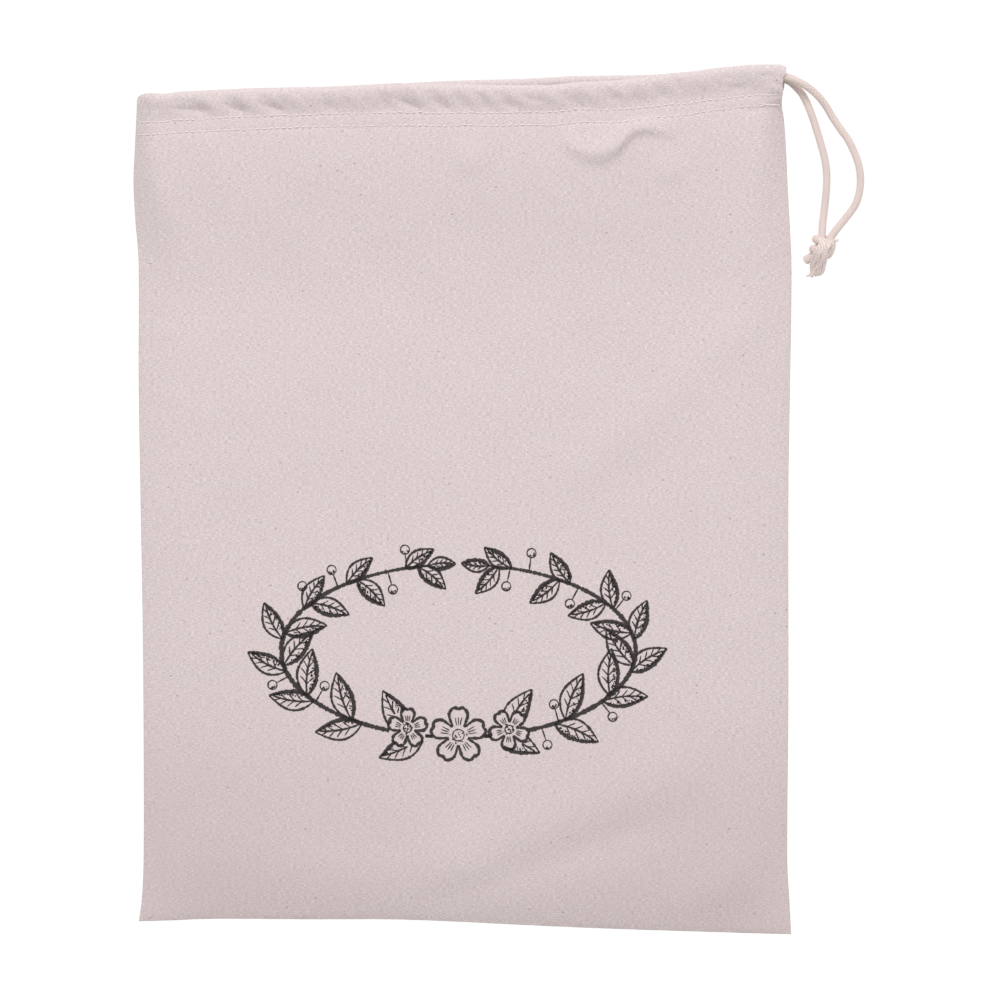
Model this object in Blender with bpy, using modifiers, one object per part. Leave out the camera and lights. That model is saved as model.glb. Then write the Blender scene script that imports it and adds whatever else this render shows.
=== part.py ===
"""Drawstring bread bag: a flat cloth pouch lying on its back, its mouth towards +Y.

The names and tables below hold millimetres, and MM turns them into Blender's metres.
X runs across the bag, Y up to its mouth and Z up from the surface it lies on.
"""

import bisect
import math

import bmesh
import bpy
from mathutils import Vector

MM = 0.001

# Cloth and cord
CLOTH = 1.0
GAP = 0.3
CORD = 3.6
CORD_IN_KNOT = 3.9

# The bag
WIDTH = 300.0
LENGTH = 392.0
HEM_DEPTH = 20.0
CASING_OPEN_TO = 6.8
CASING_SHUT_AT = 11.8
CORD_DOWN = 4.2
CORD_DOWN_AT_EXIT = 5.8

# Heights of the layers, each at the middle of its thickness
LAYER = CLOTH + GAP
CASING = CORD + 2 * GAP + CLOTH
BACK_Z = CLOTH / 2
SEAM_Z = BACK_Z + LAYER
PLATEAU_Z = 7.1
HEM_STACK_Z = BACK_Z + CASING + CLOTH

# The fold at the mouth and the way the casings meet at the left edge
FOLD_REACH = CASING / 2
FOLD_STEPS = 4
TURN_INSET = 11.6
TURN_Z = 8.5
TURN_RADIUS = 2.8
TURN_HALF_GAP = 0.2
CORD_TURN_RADIUS = TURN_RADIUS + CASING / 2
SHUT_HEM_INSET = 3.0

# How the front cloth falls from its height to the seams
CASING_SHOULDER = 9.0
BODY_SHOULDER = 28.0
CORNER_SHOULDER = 62.0
SHOULDER_RUN = 80.0
MOUTH_RUN = 85.0
RIGHT_SEAM_FROM = 14.0
RIGHT_SEAM_TO = 30.0
FOLD_FADE = 22.0
DIP_FADE = 60.0

# Corners of the outline (x, y)
BOTTOM_LEFT = (-149.9, -195.2)
BOTTOM_RIGHT = (152.0, -201.2)
TOP_LEFT = (-150.3, 187.6)
TOP_RIGHT = (149.8, 200.9)

# How far each edge bows out of the straight line between its corners: share of the edge, bow
LEFT_BOW = (
    (0.0, 0.0), (0.026, -1.4), (0.074, -2.3), (0.22, -2.4), (0.364, -2.0), (0.509, -1.1),
    (0.654, -0.3), (0.80, -0.3), (0.848, 1.1), (0.896, 1.9), (0.945, 1.0), (1.0, 0.0),
)
RIGHT_BOW = (
    (0.0, 0.0), (0.039, -0.8), (0.085, -1.7), (0.27, -0.8), (0.50, -0.3), (0.592, 0.4),
    (0.73, 1.6), (0.776, 1.7), (0.822, 0.9), (0.868, 0.0), (0.914, -0.8), (0.94, -1.6),
    (0.953, -2.4), (0.965, -2.1), (0.974, -1.2), (0.988, -0.6), (1.0, -0.1),
)
TOP_BOW = (
    (0.0, 0.0), (0.018, -0.3), (0.036, -0.9), (0.05, -0.8), (0.064, -0.3), (0.083, -0.3),
    (0.176, -0.2), (0.30, -1.0), (0.39, -0.8), (0.484, -0.6), (0.608, -1.1), (0.669, -0.9),
    (0.793, -1.8), (0.854, -1.4), (0.885, -0.4), (0.916, 0.1), (0.947, 0.6), (1.0, 0.0),
)
BOTTOM_BOW = (
    (0.0, 0.0), (0.051, -0.8), (0.112, -1.9), (0.265, -2.6), (0.388, -3.3), (0.48, -2.9),
    (0.603, -1.8), (0.725, -1.0), (0.848, -0.5), (1.0, 0.0),
)

# How far the front fold lies below the back fold: x, drop
FRONT_DIP = (
    (-29.0, 0.0), (-20.0, 0.8), (0.0, 1.9), (18.0, 2.8), (32.0, 3.2), (42.0, 3.7),
    (53.0, 3.0), (73.0, 2.3), (95.0, 0.0),
)

# How far the mouth stands open between the two hems: share of the width, opening
MOUTH_OPENING = ((0.0, 4.6), (0.80, 4.6), (0.93, 2.0), (1.0, 0.5))

# Long soft folds of the front cloth: start x, y, end x, y, width, height (a trough is negative)
LONG_FOLDS = (
    (142.0, 88.0, 50.0, 9.0, 25.0, 1.2),
    (-112.0, -74.0, -130.0, -167.0, 20.0, -1.0),
    (-10.0, -170.0, 110.0, -120.0, 34.0, 2.0),
    (-20.0, -190.0, 91.0, -147.0, 15.0, -0.9),
    (150.0, -160.0, 96.0, -196.0, 22.0, 1.3),
)

# Hanging folds under the hem: edge as x and y, height, reach above, reach below
SWAGS = (
    (
        (
            (43.0, 168.2), (49.0, 163.4), (56.0, 159.9), (60.0, 159.1), (64.0, 158.9), (69.0, 160.8),
            (73.5, 164.8), (77.5, 169.4), (82.0, 171.7), (88.0, 171.3), (94.0, 169.9), (100.0, 169.4),
        ),
        2.9, 8.0, 2.6,
    ),
    (((-6.6, 159.0), (-1.6, 157.5), (3.4, 157.0), (8.4, 157.5), (13.4, 159.0)), 1.2, 9.0, 6.0),
    (((87.0, 153.0), (91.5, 151.5), (96.0, 151.0), (100.5, 151.5), (105.0, 153.0)), 0.9, 7.0, 4.0),
)

# Small slanting folds of the front casing: x at the fold, half width, height
CASING_PUCKERS = (
    (-137.9, 8.0, 0.5), (-110.1, 9.0, 0.7), (-98.0, 8.0, 0.5), (-66.1, 9.0, 0.6), (-36.0, 8.0, 0.6),
    (-12.0, 8.0, 0.5), (18.0, 8.0, 0.6), (45.0, 8.0, 0.7), (69.0, 9.0, 0.7), (109.8, 9.0, 0.6),
)
PUCKER_SLANT = 0.7

# Where the mesh of each cloth has its columns, from the seams inwards, and its rows, below the fold
FRONT_LEFT_INSETS = (0, 1.2, 3, 5, 7.5, TURN_INSET, 17, 24)
FRONT_RIGHT_INSETS = (28, 20, 12, 6, 2.5, 0)
FRONT_PITCH = 7.0
FRONT_CLOTH_ROWS = (
    LENGTH, 387, 380, 368, 350, 322, 290, 255, 220, 185, 152, 124, 102, 84, 68, 56, 47,
    40, 35, 30, 25, HEM_DEPTH, 15.5, CASING_SHUT_AT, 9.3, CASING_OPEN_TO, 4.7, FOLD_REACH,
)
FRONT_HEM_ROWS = (FOLD_REACH, CASING_OPEN_TO, 9.3, CASING_SHUT_AT, HEM_DEPTH)
BACK_LEFT_INSETS = (0, 1.2, 3, 5, 7.5, TURN_INSET, 20)
BACK_RIGHT_INSETS = (20, 8, 0)
BACK_PITCH = 12.0
BACK_CLOTH_ROWS = (
    LENGTH, 380, 350, 300, 250, 200, 150, 100, 60, 35, HEM_DEPTH, CASING_SHUT_AT, FOLD_REACH,
)
BACK_HEM_ROWS = (FOLD_REACH, CASING_OPEN_TO, 8.5, 10.1, CASING_SHUT_AT, HEM_DEPTH)

# Colours and roughness
FRONT_COLOUR = (0.70, 0.62, 0.60)
BACK_COLOUR = (0.68, 0.60, 0.58)
CORD_COLOUR = (0.80, 0.70, 0.64)
CLOTH_ROUGHNESS = 0.9
CORD_ROUGHNESS = 0.85

# Free cord ends from inside the casings to the knot: x, y, z
FRONT_CORD_ROUTE = (
    (139.6, 195.6, 10.6), (144.6, 195.7, 10.2), (149.7, 195.4, 9.8), (153.8, 194.0, 9.4),
    (158.9, 191.2, 8.4), (163.6, 187.5, 6.2), (167.7, 182.7, 3.9), (171.4, 176.6, 2.4),
    (175.1, 171.1, 1.9), (178.4, 166.5, 1.9), (182.1, 158.6, 1.9), (183.9, 151.6, 1.9),
    (183.9, 144.2, 1.9), (182.1, 137.3, 1.9), (178.4, 131.7, 2.4), (173.4, 125.5, 3.6),
    (170.9, 122.1, 4.5),
)
BACK_CORD_ROUTE = (
    (139.6, 195.6, 3.1), (144.6, 195.3, 3.1), (149.7, 194.2, 3.1), (152.7, 192.4, 2.9),
    (155.3, 189.8, 2.5), (157.5, 187.0, 2.1), (159.9, 182.2, 1.9), (162.0, 176.6, 1.9),
    (163.8, 171.1, 1.9), (165.5, 165.5, 1.9), (167.5, 158.1, 1.9), (168.4, 151.6, 1.9),
    (168.4, 145.2, 1.9), (167.9, 138.7, 1.9), (167.2, 132.8, 2.2), (166.6, 127.8, 3.2),
    (166.3, 123.4, 4.4),
)
CORD_SPACING = 8.0
ROUTE_STEPS = 12
HELD_STOPS = 36
TURN_STEPS = 6
LOWERS_FROM = 0.8

# Knot frame: middle on the surface below it, and the way its cords come in
KNOT_X = 166.3
KNOT_Y = 116.9
KNOT_ALONG = (0.354, 0.935)
KNOT_CORE_Z = 4.7
SECOND_CORE_Z = 4.4
CORE_TOP = 2.0
CORE_FOOT = -2.8
WRAP_HALF_HEIGHT = 2.7
WRAP_STEPS = 20
KNOT_VOXEL = 0.75

# The two strands of the knot: way in, core across, half width, wrap start, wrap end, tail
KNOT_STRANDS = (
    (
        ((-2.2, 5.6, 4.6), (-1.3, 2.0, 4.7), (-1.3, -2.8, 4.7)), -1.3, 3.8, 1.8, 2.6,
        ((-2.1, -4.8, 4.0), (-2.7, -5.7, 3.6), (-4.0, -7.4, 2.8), (-5.2, -9.0, 2.1)),
    ),
    (
        ((2.2, 5.7, 4.6), (2.1, 4.9, 4.8), (3.5, 2.9, 5.4), (4.0, 0.4, 5.5), (3.4, -2.6, 4.8)),
        1.3, 3.4, -1.1, -2.9,
        ((1.6, -6.4, 3.6), (2.2, -8.4, 2.6)),
    ),
)

# Locks of the frayed tail: across at the root, across at the tip, along at the tip, height at the tip
FRAY_ROOT_ALONG = -6.6
FRAY_ROOT_Z = 3.2
FRAY_RADIUS = 1.15
FRAY_LOCKS = (
    (-1.6, -0.9, -12.0, 1.1), (-0.6, 0.4, -13.8, 1.0), (0.6, 1.4, -14.8, 1.0), (1.6, 2.4, -14.4, 1.1),
    (2.6, 3.6, -12.6, 1.0), (3.4, 4.4, -11.0, 1.1), (1.2, 1.6, -13.2, 2.5),
)


def smooth_step(value):
    """0 to 1 with level ends."""
    value = min(max(value, 0.0), 1.0)
    return value * value * (3.0 - 2.0 * value)


def read_table(table, at):
    """The value at a place, on a smooth curve through the rows."""
    if at <= table[0][0]:
        return table[0][1]
    if at >= table[-1][0]:
        return table[-1][1]
    index = bisect.bisect_right([row[0] for row in table], at) - 1
    before = table[max(index - 1, 0)]
    start = table[index]
    end = table[index + 1]
    after = table[min(index + 2, len(table) - 1)]
    run = end[0] - start[0]
    leave = (end[1] - before[1]) / (end[0] - before[0]) * run
    arrive = (after[1] - start[1]) / (after[0] - start[0]) * run
    part = (at - start[0]) / run
    rest = 1.0 - part
    return (
        (1.0 + 2.0 * part) * rest**2 * start[1]
        + part * rest**2 * leave
        + part**2 * (3.0 - 2.0 * part) * end[1]
        - part**2 * rest * arrive
    )


def edge_point(start, end, bow, outward, share):
    """A point on one bowed edge of the outline."""
    line = Vector(start).lerp(Vector(end), share)
    return line + Vector(outward) * read_table(bow, share)


def cloth_xy(across, down):
    """Where a point of the flat outline lies: share of the width, distance below the top edge."""
    up = 1.0 - down / LENGTH
    bottom = edge_point(BOTTOM_LEFT, BOTTOM_RIGHT, BOTTOM_BOW, (0, -1), across)
    top = edge_point(TOP_LEFT, TOP_RIGHT, TOP_BOW, (0, 1), across)
    left = edge_point(BOTTOM_LEFT, TOP_LEFT, LEFT_BOW, (-1, 0), up)
    right = edge_point(BOTTOM_RIGHT, TOP_RIGHT, RIGHT_BOW, (1, 0), up)
    low = Vector(BOTTOM_LEFT).lerp(Vector(BOTTOM_RIGHT), across)
    high = Vector(TOP_LEFT).lerp(Vector(TOP_RIGHT), across)
    return bottom.lerp(top, up) + left.lerp(right, across) - low.lerp(high, up)


def front_xy(across, down):
    """The same on the front cloth, whose fold lies lower in the middle of the mouth."""
    point = cloth_xy(across, down)
    fade = 1.0 - smooth_step((down - HEM_DEPTH) / DIP_FADE)
    return point - Vector((0, read_table(FRONT_DIP, point.x) * fade))


def layers_apart(down):
    """Middle of the cloth to middle of its hem: open round the cord, then shut by the stitching."""
    shut = smooth_step((down - CASING_OPEN_TO) / (CASING_SHUT_AT - CASING_OPEN_TO))
    return CASING + (LAYER - CASING) * shut


def shoulder(inset, width):
    """Share of its full height that the cloth has reached at this distance from a seam."""
    left_to_rise = 1.0 - min(max(inset / width, 0.0), 1.0)
    return 1.0 - left_to_rise**2


def ridge(point, fold):
    """Height of one long fold at a point."""
    start_x, start_y, end_x, end_y, width, height = fold
    start = Vector((start_x, start_y))
    along = Vector((end_x, end_y)) - start
    share = (point - start).dot(along) / along.length_squared
    away = abs((point - start).cross(along)) / along.length
    ends = smooth_step(share * 4.0 + 0.5) * smooth_step((1.0 - share) * 4.0 + 0.5)
    return height * ends * math.exp(-((2.0 * away / width) ** 2))


def swag(point, row):
    """Height of one hanging fold: soft above, steep below its edge."""
    edge, height, above, below = row
    half_width = (edge[-1][0] - edge[0][0]) / 2.0
    share = (point.x - edge[0][0]) / half_width - 1.0
    if abs(share) >= 1.0:
        return 0.0
    off = point.y - read_table(edge, point.x)
    reach = above if off > 0 else below
    return height * (1.0 - share**2) * math.exp(-((off / reach) ** 2))


def pucker(point, down, row):
    """Height of one slanting fold of the casing."""
    x, half_width, height = row
    off = (point.x - x - down * PUCKER_SLANT) / half_width
    ends = smooth_step(down / FOLD_REACH) * (1.0 - smooth_step((down - CORD_DOWN) / CASING_OPEN_TO))
    return height * ends * math.exp(-((2.0 * off) ** 2))


def hem_z(across):
    """Height of the front hem where the casing is open."""
    return HEM_STACK_Z + read_table(MOUTH_OPENING, across)


def front_z(across, down):
    """Height of the front cloth."""
    inset_left = across * WIDTH
    inset_right = WIDTH - inset_left
    inset_bottom = LENGTH - down
    casing_top = hem_z(across) + layers_apart(down)
    full = casing_top + (PLATEAU_Z - casing_top) * smooth_step((down - HEM_DEPTH) / MOUTH_RUN)
    widening = smooth_step((down - HEM_DEPTH) / SHOULDER_RUN)
    left = shoulder(inset_left, CASING_SHOULDER + (BODY_SHOULDER - CASING_SHOULDER) * widening)
    sewn = smooth_step((down - RIGHT_SEAM_FROM) / (RIGHT_SEAM_TO - RIGHT_SEAM_FROM))
    right = 1.0 - sewn * (1.0 - shoulder(inset_right, BODY_SHOULDER))
    corner = abs(2.0 * across - 1.0) ** 3
    bottom = shoulder(inset_bottom, BODY_SHOULDER + (CORNER_SHOULDER - BODY_SHOULDER) * corner)
    point = front_xy(across, down)
    folds = sum(ridge(point, fold) for fold in LONG_FOLDS) + sum(swag(point, row) for row in SWAGS)
    nearest = min(inset_left, inset_right, inset_bottom)
    folds *= smooth_step(nearest / FOLD_FADE) * smooth_step((down - HEM_DEPTH) / LAYER)
    folds += sum(pucker(point, down, row) for row in CASING_PUCKERS)
    return SEAM_Z + (full - SEAM_Z) * left * right * bottom + folds * min(left, right)


def turned_hem(across, down, side):
    """The hem where both casings round the left edge: side is 1 on the front, -1 on the back."""
    inset = across * WIDTH
    turn = math.radians(90.0) * (1.0 - inset / TURN_INSET)
    x = TURN_INSET - TURN_RADIUS * math.sin(turn)
    rise = TURN_HALF_GAP + (TURN_RADIUS - TURN_HALF_GAP) * math.cos(turn)
    return x - inset, TURN_Z + side * rise


def front_outer(across, down):
    """The front cloth itself."""
    point = front_xy(across, down)
    return Vector((point.x, point.y, front_z(across, down)))


def front_hem(across, down):
    """The front cloth's hem, folded inwards."""
    point = front_xy(across, down)
    if across * WIDTH < TURN_INSET:
        shift, height = turned_hem(across, down, 1)
        return Vector((point.x + shift, point.y, height))
    pressed = sum(pucker(point, down, row) for row in CASING_PUCKERS)
    return Vector((point.x, point.y, front_z(across, down) - pressed - layers_apart(down)))


def back_outer(across, down):
    """The back cloth itself, flat on the surface."""
    point = cloth_xy(across, down)
    return Vector((point.x, point.y, BACK_Z))


def back_hem(across, down):
    """The back cloth's hem, folded inwards."""
    point = cloth_xy(across, down)
    flat = Vector((point.x, point.y, BACK_Z + layers_apart(down)))
    inset = across * WIDTH
    if inset >= TURN_INSET:
        return flat
    flat.x += SHUT_HEM_INSET * (1.0 - inset / TURN_INSET)
    shift, height = turned_hem(across, down, -1)
    open_share = (layers_apart(down) - LAYER) / (CASING - LAYER)
    return flat.lerp(Vector((point.x + shift, point.y, height)), open_share)


def folded_cloth(outer, hem, across, station):
    """A point of one cloth, from its lower edge up over the fold and down its hem."""
    kind, value = station
    if kind == "cloth":
        return outer(across, value)
    if kind == "hem":
        return hem(across, value)
    top = outer(across, FOLD_REACH)
    under = hem(across, FOLD_REACH)
    middle = (top + under) / 2
    lift = Vector((0, FOLD_REACH * math.sin(value), 0))
    return middle + (top - middle) * math.cos(value) + lift


def stations(cloth_rows, hem_rows):
    """The rows of a cloth, in order from its lower edge to the edge of its hem."""
    fold_angles = [math.pi * step / FOLD_STEPS for step in range(1, FOLD_STEPS)]
    rows = [("cloth", down) for down in cloth_rows]
    rows += [("fold", angle) for angle in fold_angles]
    return rows + [("hem", down) for down in hem_rows]


def columns(left_insets, pitch, right_insets):
    """Shares of the width, close together at the seams and about a pitch apart between them."""
    first = left_insets[-1]
    last = WIDTH - right_insets[0]
    count = round((last - first) / pitch)
    between = [first + (last - first) * step / count for step in range(1, count)]
    insets = list(left_insets) + between + [WIDTH - inset for inset in right_insets]
    return [inset / WIDTH for inset in insets]


def material(name, colour, roughness):
    """A Principled material."""
    made = bpy.data.materials.new(name)
    made.use_nodes = True
    shader = made.node_tree.nodes["Principled BSDF"]
    shader.inputs["Base Color"].default_value = (*colour, 1.0)
    shader.inputs["Roughness"].default_value = roughness
    shader.inputs["Metallic"].default_value = 0.0
    return made


def add_object(name, data, collection, finish):
    """A named object with one material."""
    made = bpy.data.objects.new(name, data)
    made.data.materials.append(finish)
    collection.objects.link(made)
    return made


def cloth_object(name, shares, rows, outer, hem, collection, finish):
    """One cloth with its hem, as a grid bent over the mouth and thickened."""
    grid = bmesh.new()
    bmesh.ops.create_grid(grid, x_segments=len(shares) - 1, y_segments=len(rows) - 1, size=0.5)
    for vertex in grid.verts:
        column = round((vertex.co.x + 0.5) * (len(shares) - 1))
        row = round((vertex.co.y + 0.5) * (len(rows) - 1))
        vertex.co = folded_cloth(outer, hem, shares[column], rows[row]) * MM
    mesh = bpy.data.meshes.new(name)
    grid.to_mesh(mesh)
    grid.free()
    mesh.shade_smooth()
    made = add_object(name, mesh, collection, finish)
    thick = made.modifiers.new("Cloth thickness", "SOLIDIFY")
    thick.thickness = CLOTH * MM
    thick.offset = 0.0
    thick.use_even_offset = True
    thick.use_quality_normals = True
    return made


def smooth_route(points, spacing):
    """Points an even spacing apart on a smooth curve through the route's own points."""
    ends = [points[0] * 2 - points[1], *points, points[-1] * 2 - points[-2]]
    dense = []
    for index in range(1, len(ends) - 2):
        before, start, end, after = ends[index - 1 : index + 3]
        for step in range(ROUTE_STEPS):
            part = step / ROUTE_STEPS
            dense.append(
                (
                    start * 2
                    + (end - before) * part
                    + (before * 2 - start * 5 + end * 4 - after) * part**2
                    + (start * 3 - before - end * 3 + after) * part**3
                )
                / 2
            )
    dense.append(points[-1])
    reached = [0.0]
    for start, end in zip(dense, dense[1:]):
        reached.append(reached[-1] + (end - start).length)
    count = max(round(reached[-1] / spacing), 1)
    route = []
    for step in range(count + 1):
        wanted = reached[-1] * step / count
        index = min(max(bisect.bisect_right(reached, wanted) - 1, 0), len(dense) - 2)
        run = reached[index + 1] - reached[index]
        route.append(dense[index].lerp(dense[index + 1], (wanted - reached[index]) / run))
    return route


def tube_curve(name, points, radii):
    """A round tube with closed ends, as a curve; radii holds one radius for each point."""
    curve = bpy.data.curves.new(name, "CURVE")
    curve.dimensions = "3D"
    curve.bevel_depth = 1.0 * MM
    curve.bevel_resolution = 2
    curve.use_fill_caps = True
    spline = curve.splines.new("POLY")
    spline.points.add(len(points) - 1)
    for spot, point, radius in zip(spline.points, points, radii):
        spot.co = (*(point * MM), 1.0)
        spot.radius = radius
    spline.use_smooth = True
    return curve


def cord_object(name, route, collection, finish):
    """A stretch of the drawcord along its route."""
    return add_object(name, tube_curve(name, route, [CORD / 2] * len(route)), collection, finish)


def held_cord_route():
    """The drawcord through the front casing, round the left edge and back through the back casing."""
    top_run = []
    end_share = (FRONT_CORD_ROUTE[0][0] - GAP - TOP_LEFT[0]) / (TOP_RIGHT[0] - TOP_LEFT[0])
    turn_share = TURN_INSET / WIDTH
    for stop in range(HELD_STOPS + 1):
        across = end_share + (turn_share - end_share) * stop / HELD_STOPS
        near_exit = smooth_step((across - LOWERS_FROM) / (end_share - LOWERS_FROM))
        top_run.append((across, CORD_DOWN + (CORD_DOWN_AT_EXIT - CORD_DOWN) * near_exit))
    front = []
    back = []
    for across, down in top_run:
        front_point = front_xy(across, down)
        back_point = cloth_xy(across, down)
        front.append(Vector((front_point.x, front_point.y, hem_z(across) + CASING / 2)))
        back.append(Vector((back_point.x, back_point.y, BACK_Z + CASING / 2)))
    turn = []
    centre = back[-1]
    for step in range(1, TURN_STEPS):
        angle = math.pi * step / TURN_STEPS
        reach = CORD_TURN_RADIUS * math.sin(angle)
        turn.append(
            Vector((centre.x - reach, centre.y, TURN_Z + CORD_TURN_RADIUS * math.cos(angle)))
        )
    return front + turn + back[::-1]


def knot_point(across, along, height):
    """A point given in the knot's own directions."""
    x = KNOT_X + KNOT_ALONG[1] * across + KNOT_ALONG[0] * along
    y = KNOT_Y - KNOT_ALONG[0] * across + KNOT_ALONG[1] * along
    return Vector((x, y, height))


def strand_route(way_in, core, half_width, wrap_start, wrap_end, tail):
    """One strand: into the knot, once round the outside, through the core and out."""
    points = [knot_point(*spot) for spot in way_in]
    for step in range(WRAP_STEPS + 1):
        share = step / WRAP_STEPS
        angle = math.radians(-90.0 + 360.0 * share)
        across = half_width * math.cos(angle)
        height = KNOT_CORE_Z + WRAP_HALF_HEIGHT * math.sin(angle)
        points.append(knot_point(across, wrap_start + (wrap_end - wrap_start) * share, height))
    points.append(knot_point(core, CORE_TOP, SECOND_CORE_Z))
    points.append(knot_point(core, CORE_FOOT, SECOND_CORE_Z))
    return points + [knot_point(*spot) for spot in tail]


def knot_pieces():
    """The tubes that the knot is fused from: route and radii."""
    pieces = []
    for strand in KNOT_STRANDS:
        route = smooth_route(strand_route(*strand), 1.0)
        pieces.append((route, [CORD_IN_KNOT / 2] * len(route)))
    for root_across, tip_across, tip_along, tip_height in FRAY_LOCKS:
        root = knot_point(root_across, FRAY_ROOT_ALONG, FRAY_ROOT_Z)
        tip = knot_point(tip_across, tip_along, tip_height)
        route = smooth_route([root, tip], 1.2)
        last = len(route) - 1
        pieces.append((route, [FRAY_RADIUS * (1.0 - 0.45 * spot / last) for spot in range(last + 1)]))
    return pieces


def knot_object(name, collection, finish):
    """Both cord ends tied in one overhand knot, fused into one body."""
    joined = bmesh.new()
    for route, radii in knot_pieces():
        source = bpy.data.objects.new("strand", tube_curve("strand", route, radii))
        collection.objects.link(source)
        graph = bpy.context.evaluated_depsgraph_get()
        tube = bpy.data.meshes.new_from_object(source.evaluated_get(graph))
        joined.from_mesh(tube)
        bpy.data.objects.remove(source)
        bpy.data.meshes.remove(tube)
    bmesh.ops.remove_doubles(joined, verts=joined.verts, dist=0.001 * MM)
    mesh = bpy.data.meshes.new(name)
    joined.to_mesh(mesh)
    joined.free()
    made = add_object(name, mesh, collection, finish)
    fuse = made.modifiers.new("Fuse", "REMESH")
    fuse.mode = "VOXEL"
    fuse.voxel_size = KNOT_VOXEL * MM
    fuse.use_smooth_shade = True
    return made


def main():
    for old in list(bpy.data.objects):
        bpy.data.objects.remove(old)
    collection = bpy.data.collections.new("Bread bag")
    bpy.context.scene.collection.children.link(collection)
    front_cloth = material("Front cloth", FRONT_COLOUR, CLOTH_ROUGHNESS)
    back_cloth = material("Back cloth", BACK_COLOUR, CLOTH_ROUGHNESS)
    cord_finish = material("Braided cord", CORD_COLOUR, CORD_ROUGHNESS)

    front_shares = columns(FRONT_LEFT_INSETS, FRONT_PITCH, FRONT_RIGHT_INSETS)
    front_rows = stations(FRONT_CLOTH_ROWS, FRONT_HEM_ROWS)
    cloth_object(
        "front_panel", front_shares, front_rows, front_outer, front_hem, collection, front_cloth
    )
    back_shares = columns(BACK_LEFT_INSETS, BACK_PITCH, BACK_RIGHT_INSETS)
    back_rows = stations(BACK_CLOTH_ROWS, BACK_HEM_ROWS)
    cloth_object(
        "back_panel", back_shares, back_rows, back_outer, back_hem, collection, back_cloth
    )
    cord_object("drawcord_in_casing", held_cord_route(), collection, cord_finish)
    for name, route in (("front_cord_end", FRONT_CORD_ROUTE), ("back_cord_end", BACK_CORD_ROUTE)):
        points = smooth_route([Vector(point) for point in route], CORD_SPACING)
        cord_object(name, points, collection, cord_finish)
    knot_object("end_knot", collection, cord_finish)


main()
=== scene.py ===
import math

import bpy
import numpy as np
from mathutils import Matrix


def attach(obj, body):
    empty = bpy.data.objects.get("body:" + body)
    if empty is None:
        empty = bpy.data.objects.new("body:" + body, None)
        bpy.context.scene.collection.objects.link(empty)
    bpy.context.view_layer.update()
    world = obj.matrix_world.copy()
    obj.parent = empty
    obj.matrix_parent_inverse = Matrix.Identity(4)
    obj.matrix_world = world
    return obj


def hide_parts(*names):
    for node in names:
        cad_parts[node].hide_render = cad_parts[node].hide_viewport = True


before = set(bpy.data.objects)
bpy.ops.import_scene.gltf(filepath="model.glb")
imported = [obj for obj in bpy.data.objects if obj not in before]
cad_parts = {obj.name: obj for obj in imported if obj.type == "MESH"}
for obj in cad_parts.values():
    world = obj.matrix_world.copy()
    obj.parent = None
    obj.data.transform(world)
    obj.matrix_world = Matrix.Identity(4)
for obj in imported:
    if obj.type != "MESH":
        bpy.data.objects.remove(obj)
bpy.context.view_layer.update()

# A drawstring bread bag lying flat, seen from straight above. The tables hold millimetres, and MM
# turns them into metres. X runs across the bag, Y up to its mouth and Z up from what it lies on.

MM = 0.001
SEED = 41

# The picture: its middle, the width it takes in and the camera's height
VIEW_X = 17.25
VIEW_Y = -0.23
VIEW_WIDTH = 463.0
VIEW_HEIGHT = 8000.0
SENSOR = 36.0

# Light: the floor's size, height and glow, the surround, and the lamp's power, place in metres, tilt
# and size
FLOOR_HALF = 2500.0
FLOOR_Z = -0.05
FLOOR_GLOW = 0.94
SURROUND = 0.74
LAMP_POWER = 26.5
LAMP_PLACE = (0.0, 1.5, 1.66)
LAMP_TILT = -42.0
LAMP_SIZE = (1.8, 0.9)
LAMP_WHITE = (1.0, 0.99, 0.985)

# Thickness of the cloth, the cord and the cord in its knot, and the bag's size with its cut length
CLOTH = 0.6
CORD = 3.6
KNOT_CORD = 4.0
WIDTH = 300.0
LENGTH = 392.0
HEM_DEPTH = 20.0

# Casing: its height, and how far below the fold its open end rounds off, the cloth begins to close
# and the casing is shut
CASING = 5.2
CASING_OPEN_TO = 6.8
SLOPE_FROM = 3.6
CASING_SHUT_AT = 12.2

# Its open end: how far the fold rounds off and drops, and how far and where the front is drawn in
END_ROUNDING = 3.0
END_DROP = 1.9
END_DRAW = 0.9
END_DRAW_REACH = 7.0
END_DRAW_FROM = 3.0
END_DRAW_TO = 9.0

# The cord in it: depth below the fold along it and at its exit, gap to the free end, and how high
# the cloth lies over its middle and how fast it falls beside it
CORD_DOWN = 4.2
CORD_DOWN_AT_EXIT = 5.8
CORD_GAP = 0.3
ON_CORD = 2.1
OFF_CORD = 0.13

# Heights of the layers, each at the middle of its thickness
LAYER = 0.7
BACK_Z = 0.45
SEAM_Z = BACK_Z + LAYER - 0.1
PLATEAU_Z = 7.1
HEM_STACK_Z = 6.7

# The fold at the mouth and the way the casings meet at the left edge
FOLD_REACH = CASING / 2
FOLD_STEPS = 10
TURN_INSET = 11.6
TURN_Z = 8.5
TURN_RADIUS = 2.8
TURN_HALF_GAP = 0.2
CORD_TURN_RADIUS = TURN_RADIUS + CASING / 2
SHUT_HEM_INSET = 3.0

# How the front cloth falls from its height to the seams
CASING_SHOULDER = 9.0
BODY_SHOULDER = 28.0
CORNER_SHOULDER = 62.0
SHOULDER_RUN = 80.0
MOUTH_RUN = 85.0
RIGHT_SEAM_FROM = 11.5
RIGHT_SEAM_TO = 22.0
RIGHT_SHOULDER = 12.0
SEAM_ROLL = 1.6
SEAM_DROP = 0.3
BACK_SEAM_LIFT = 0.35

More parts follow.
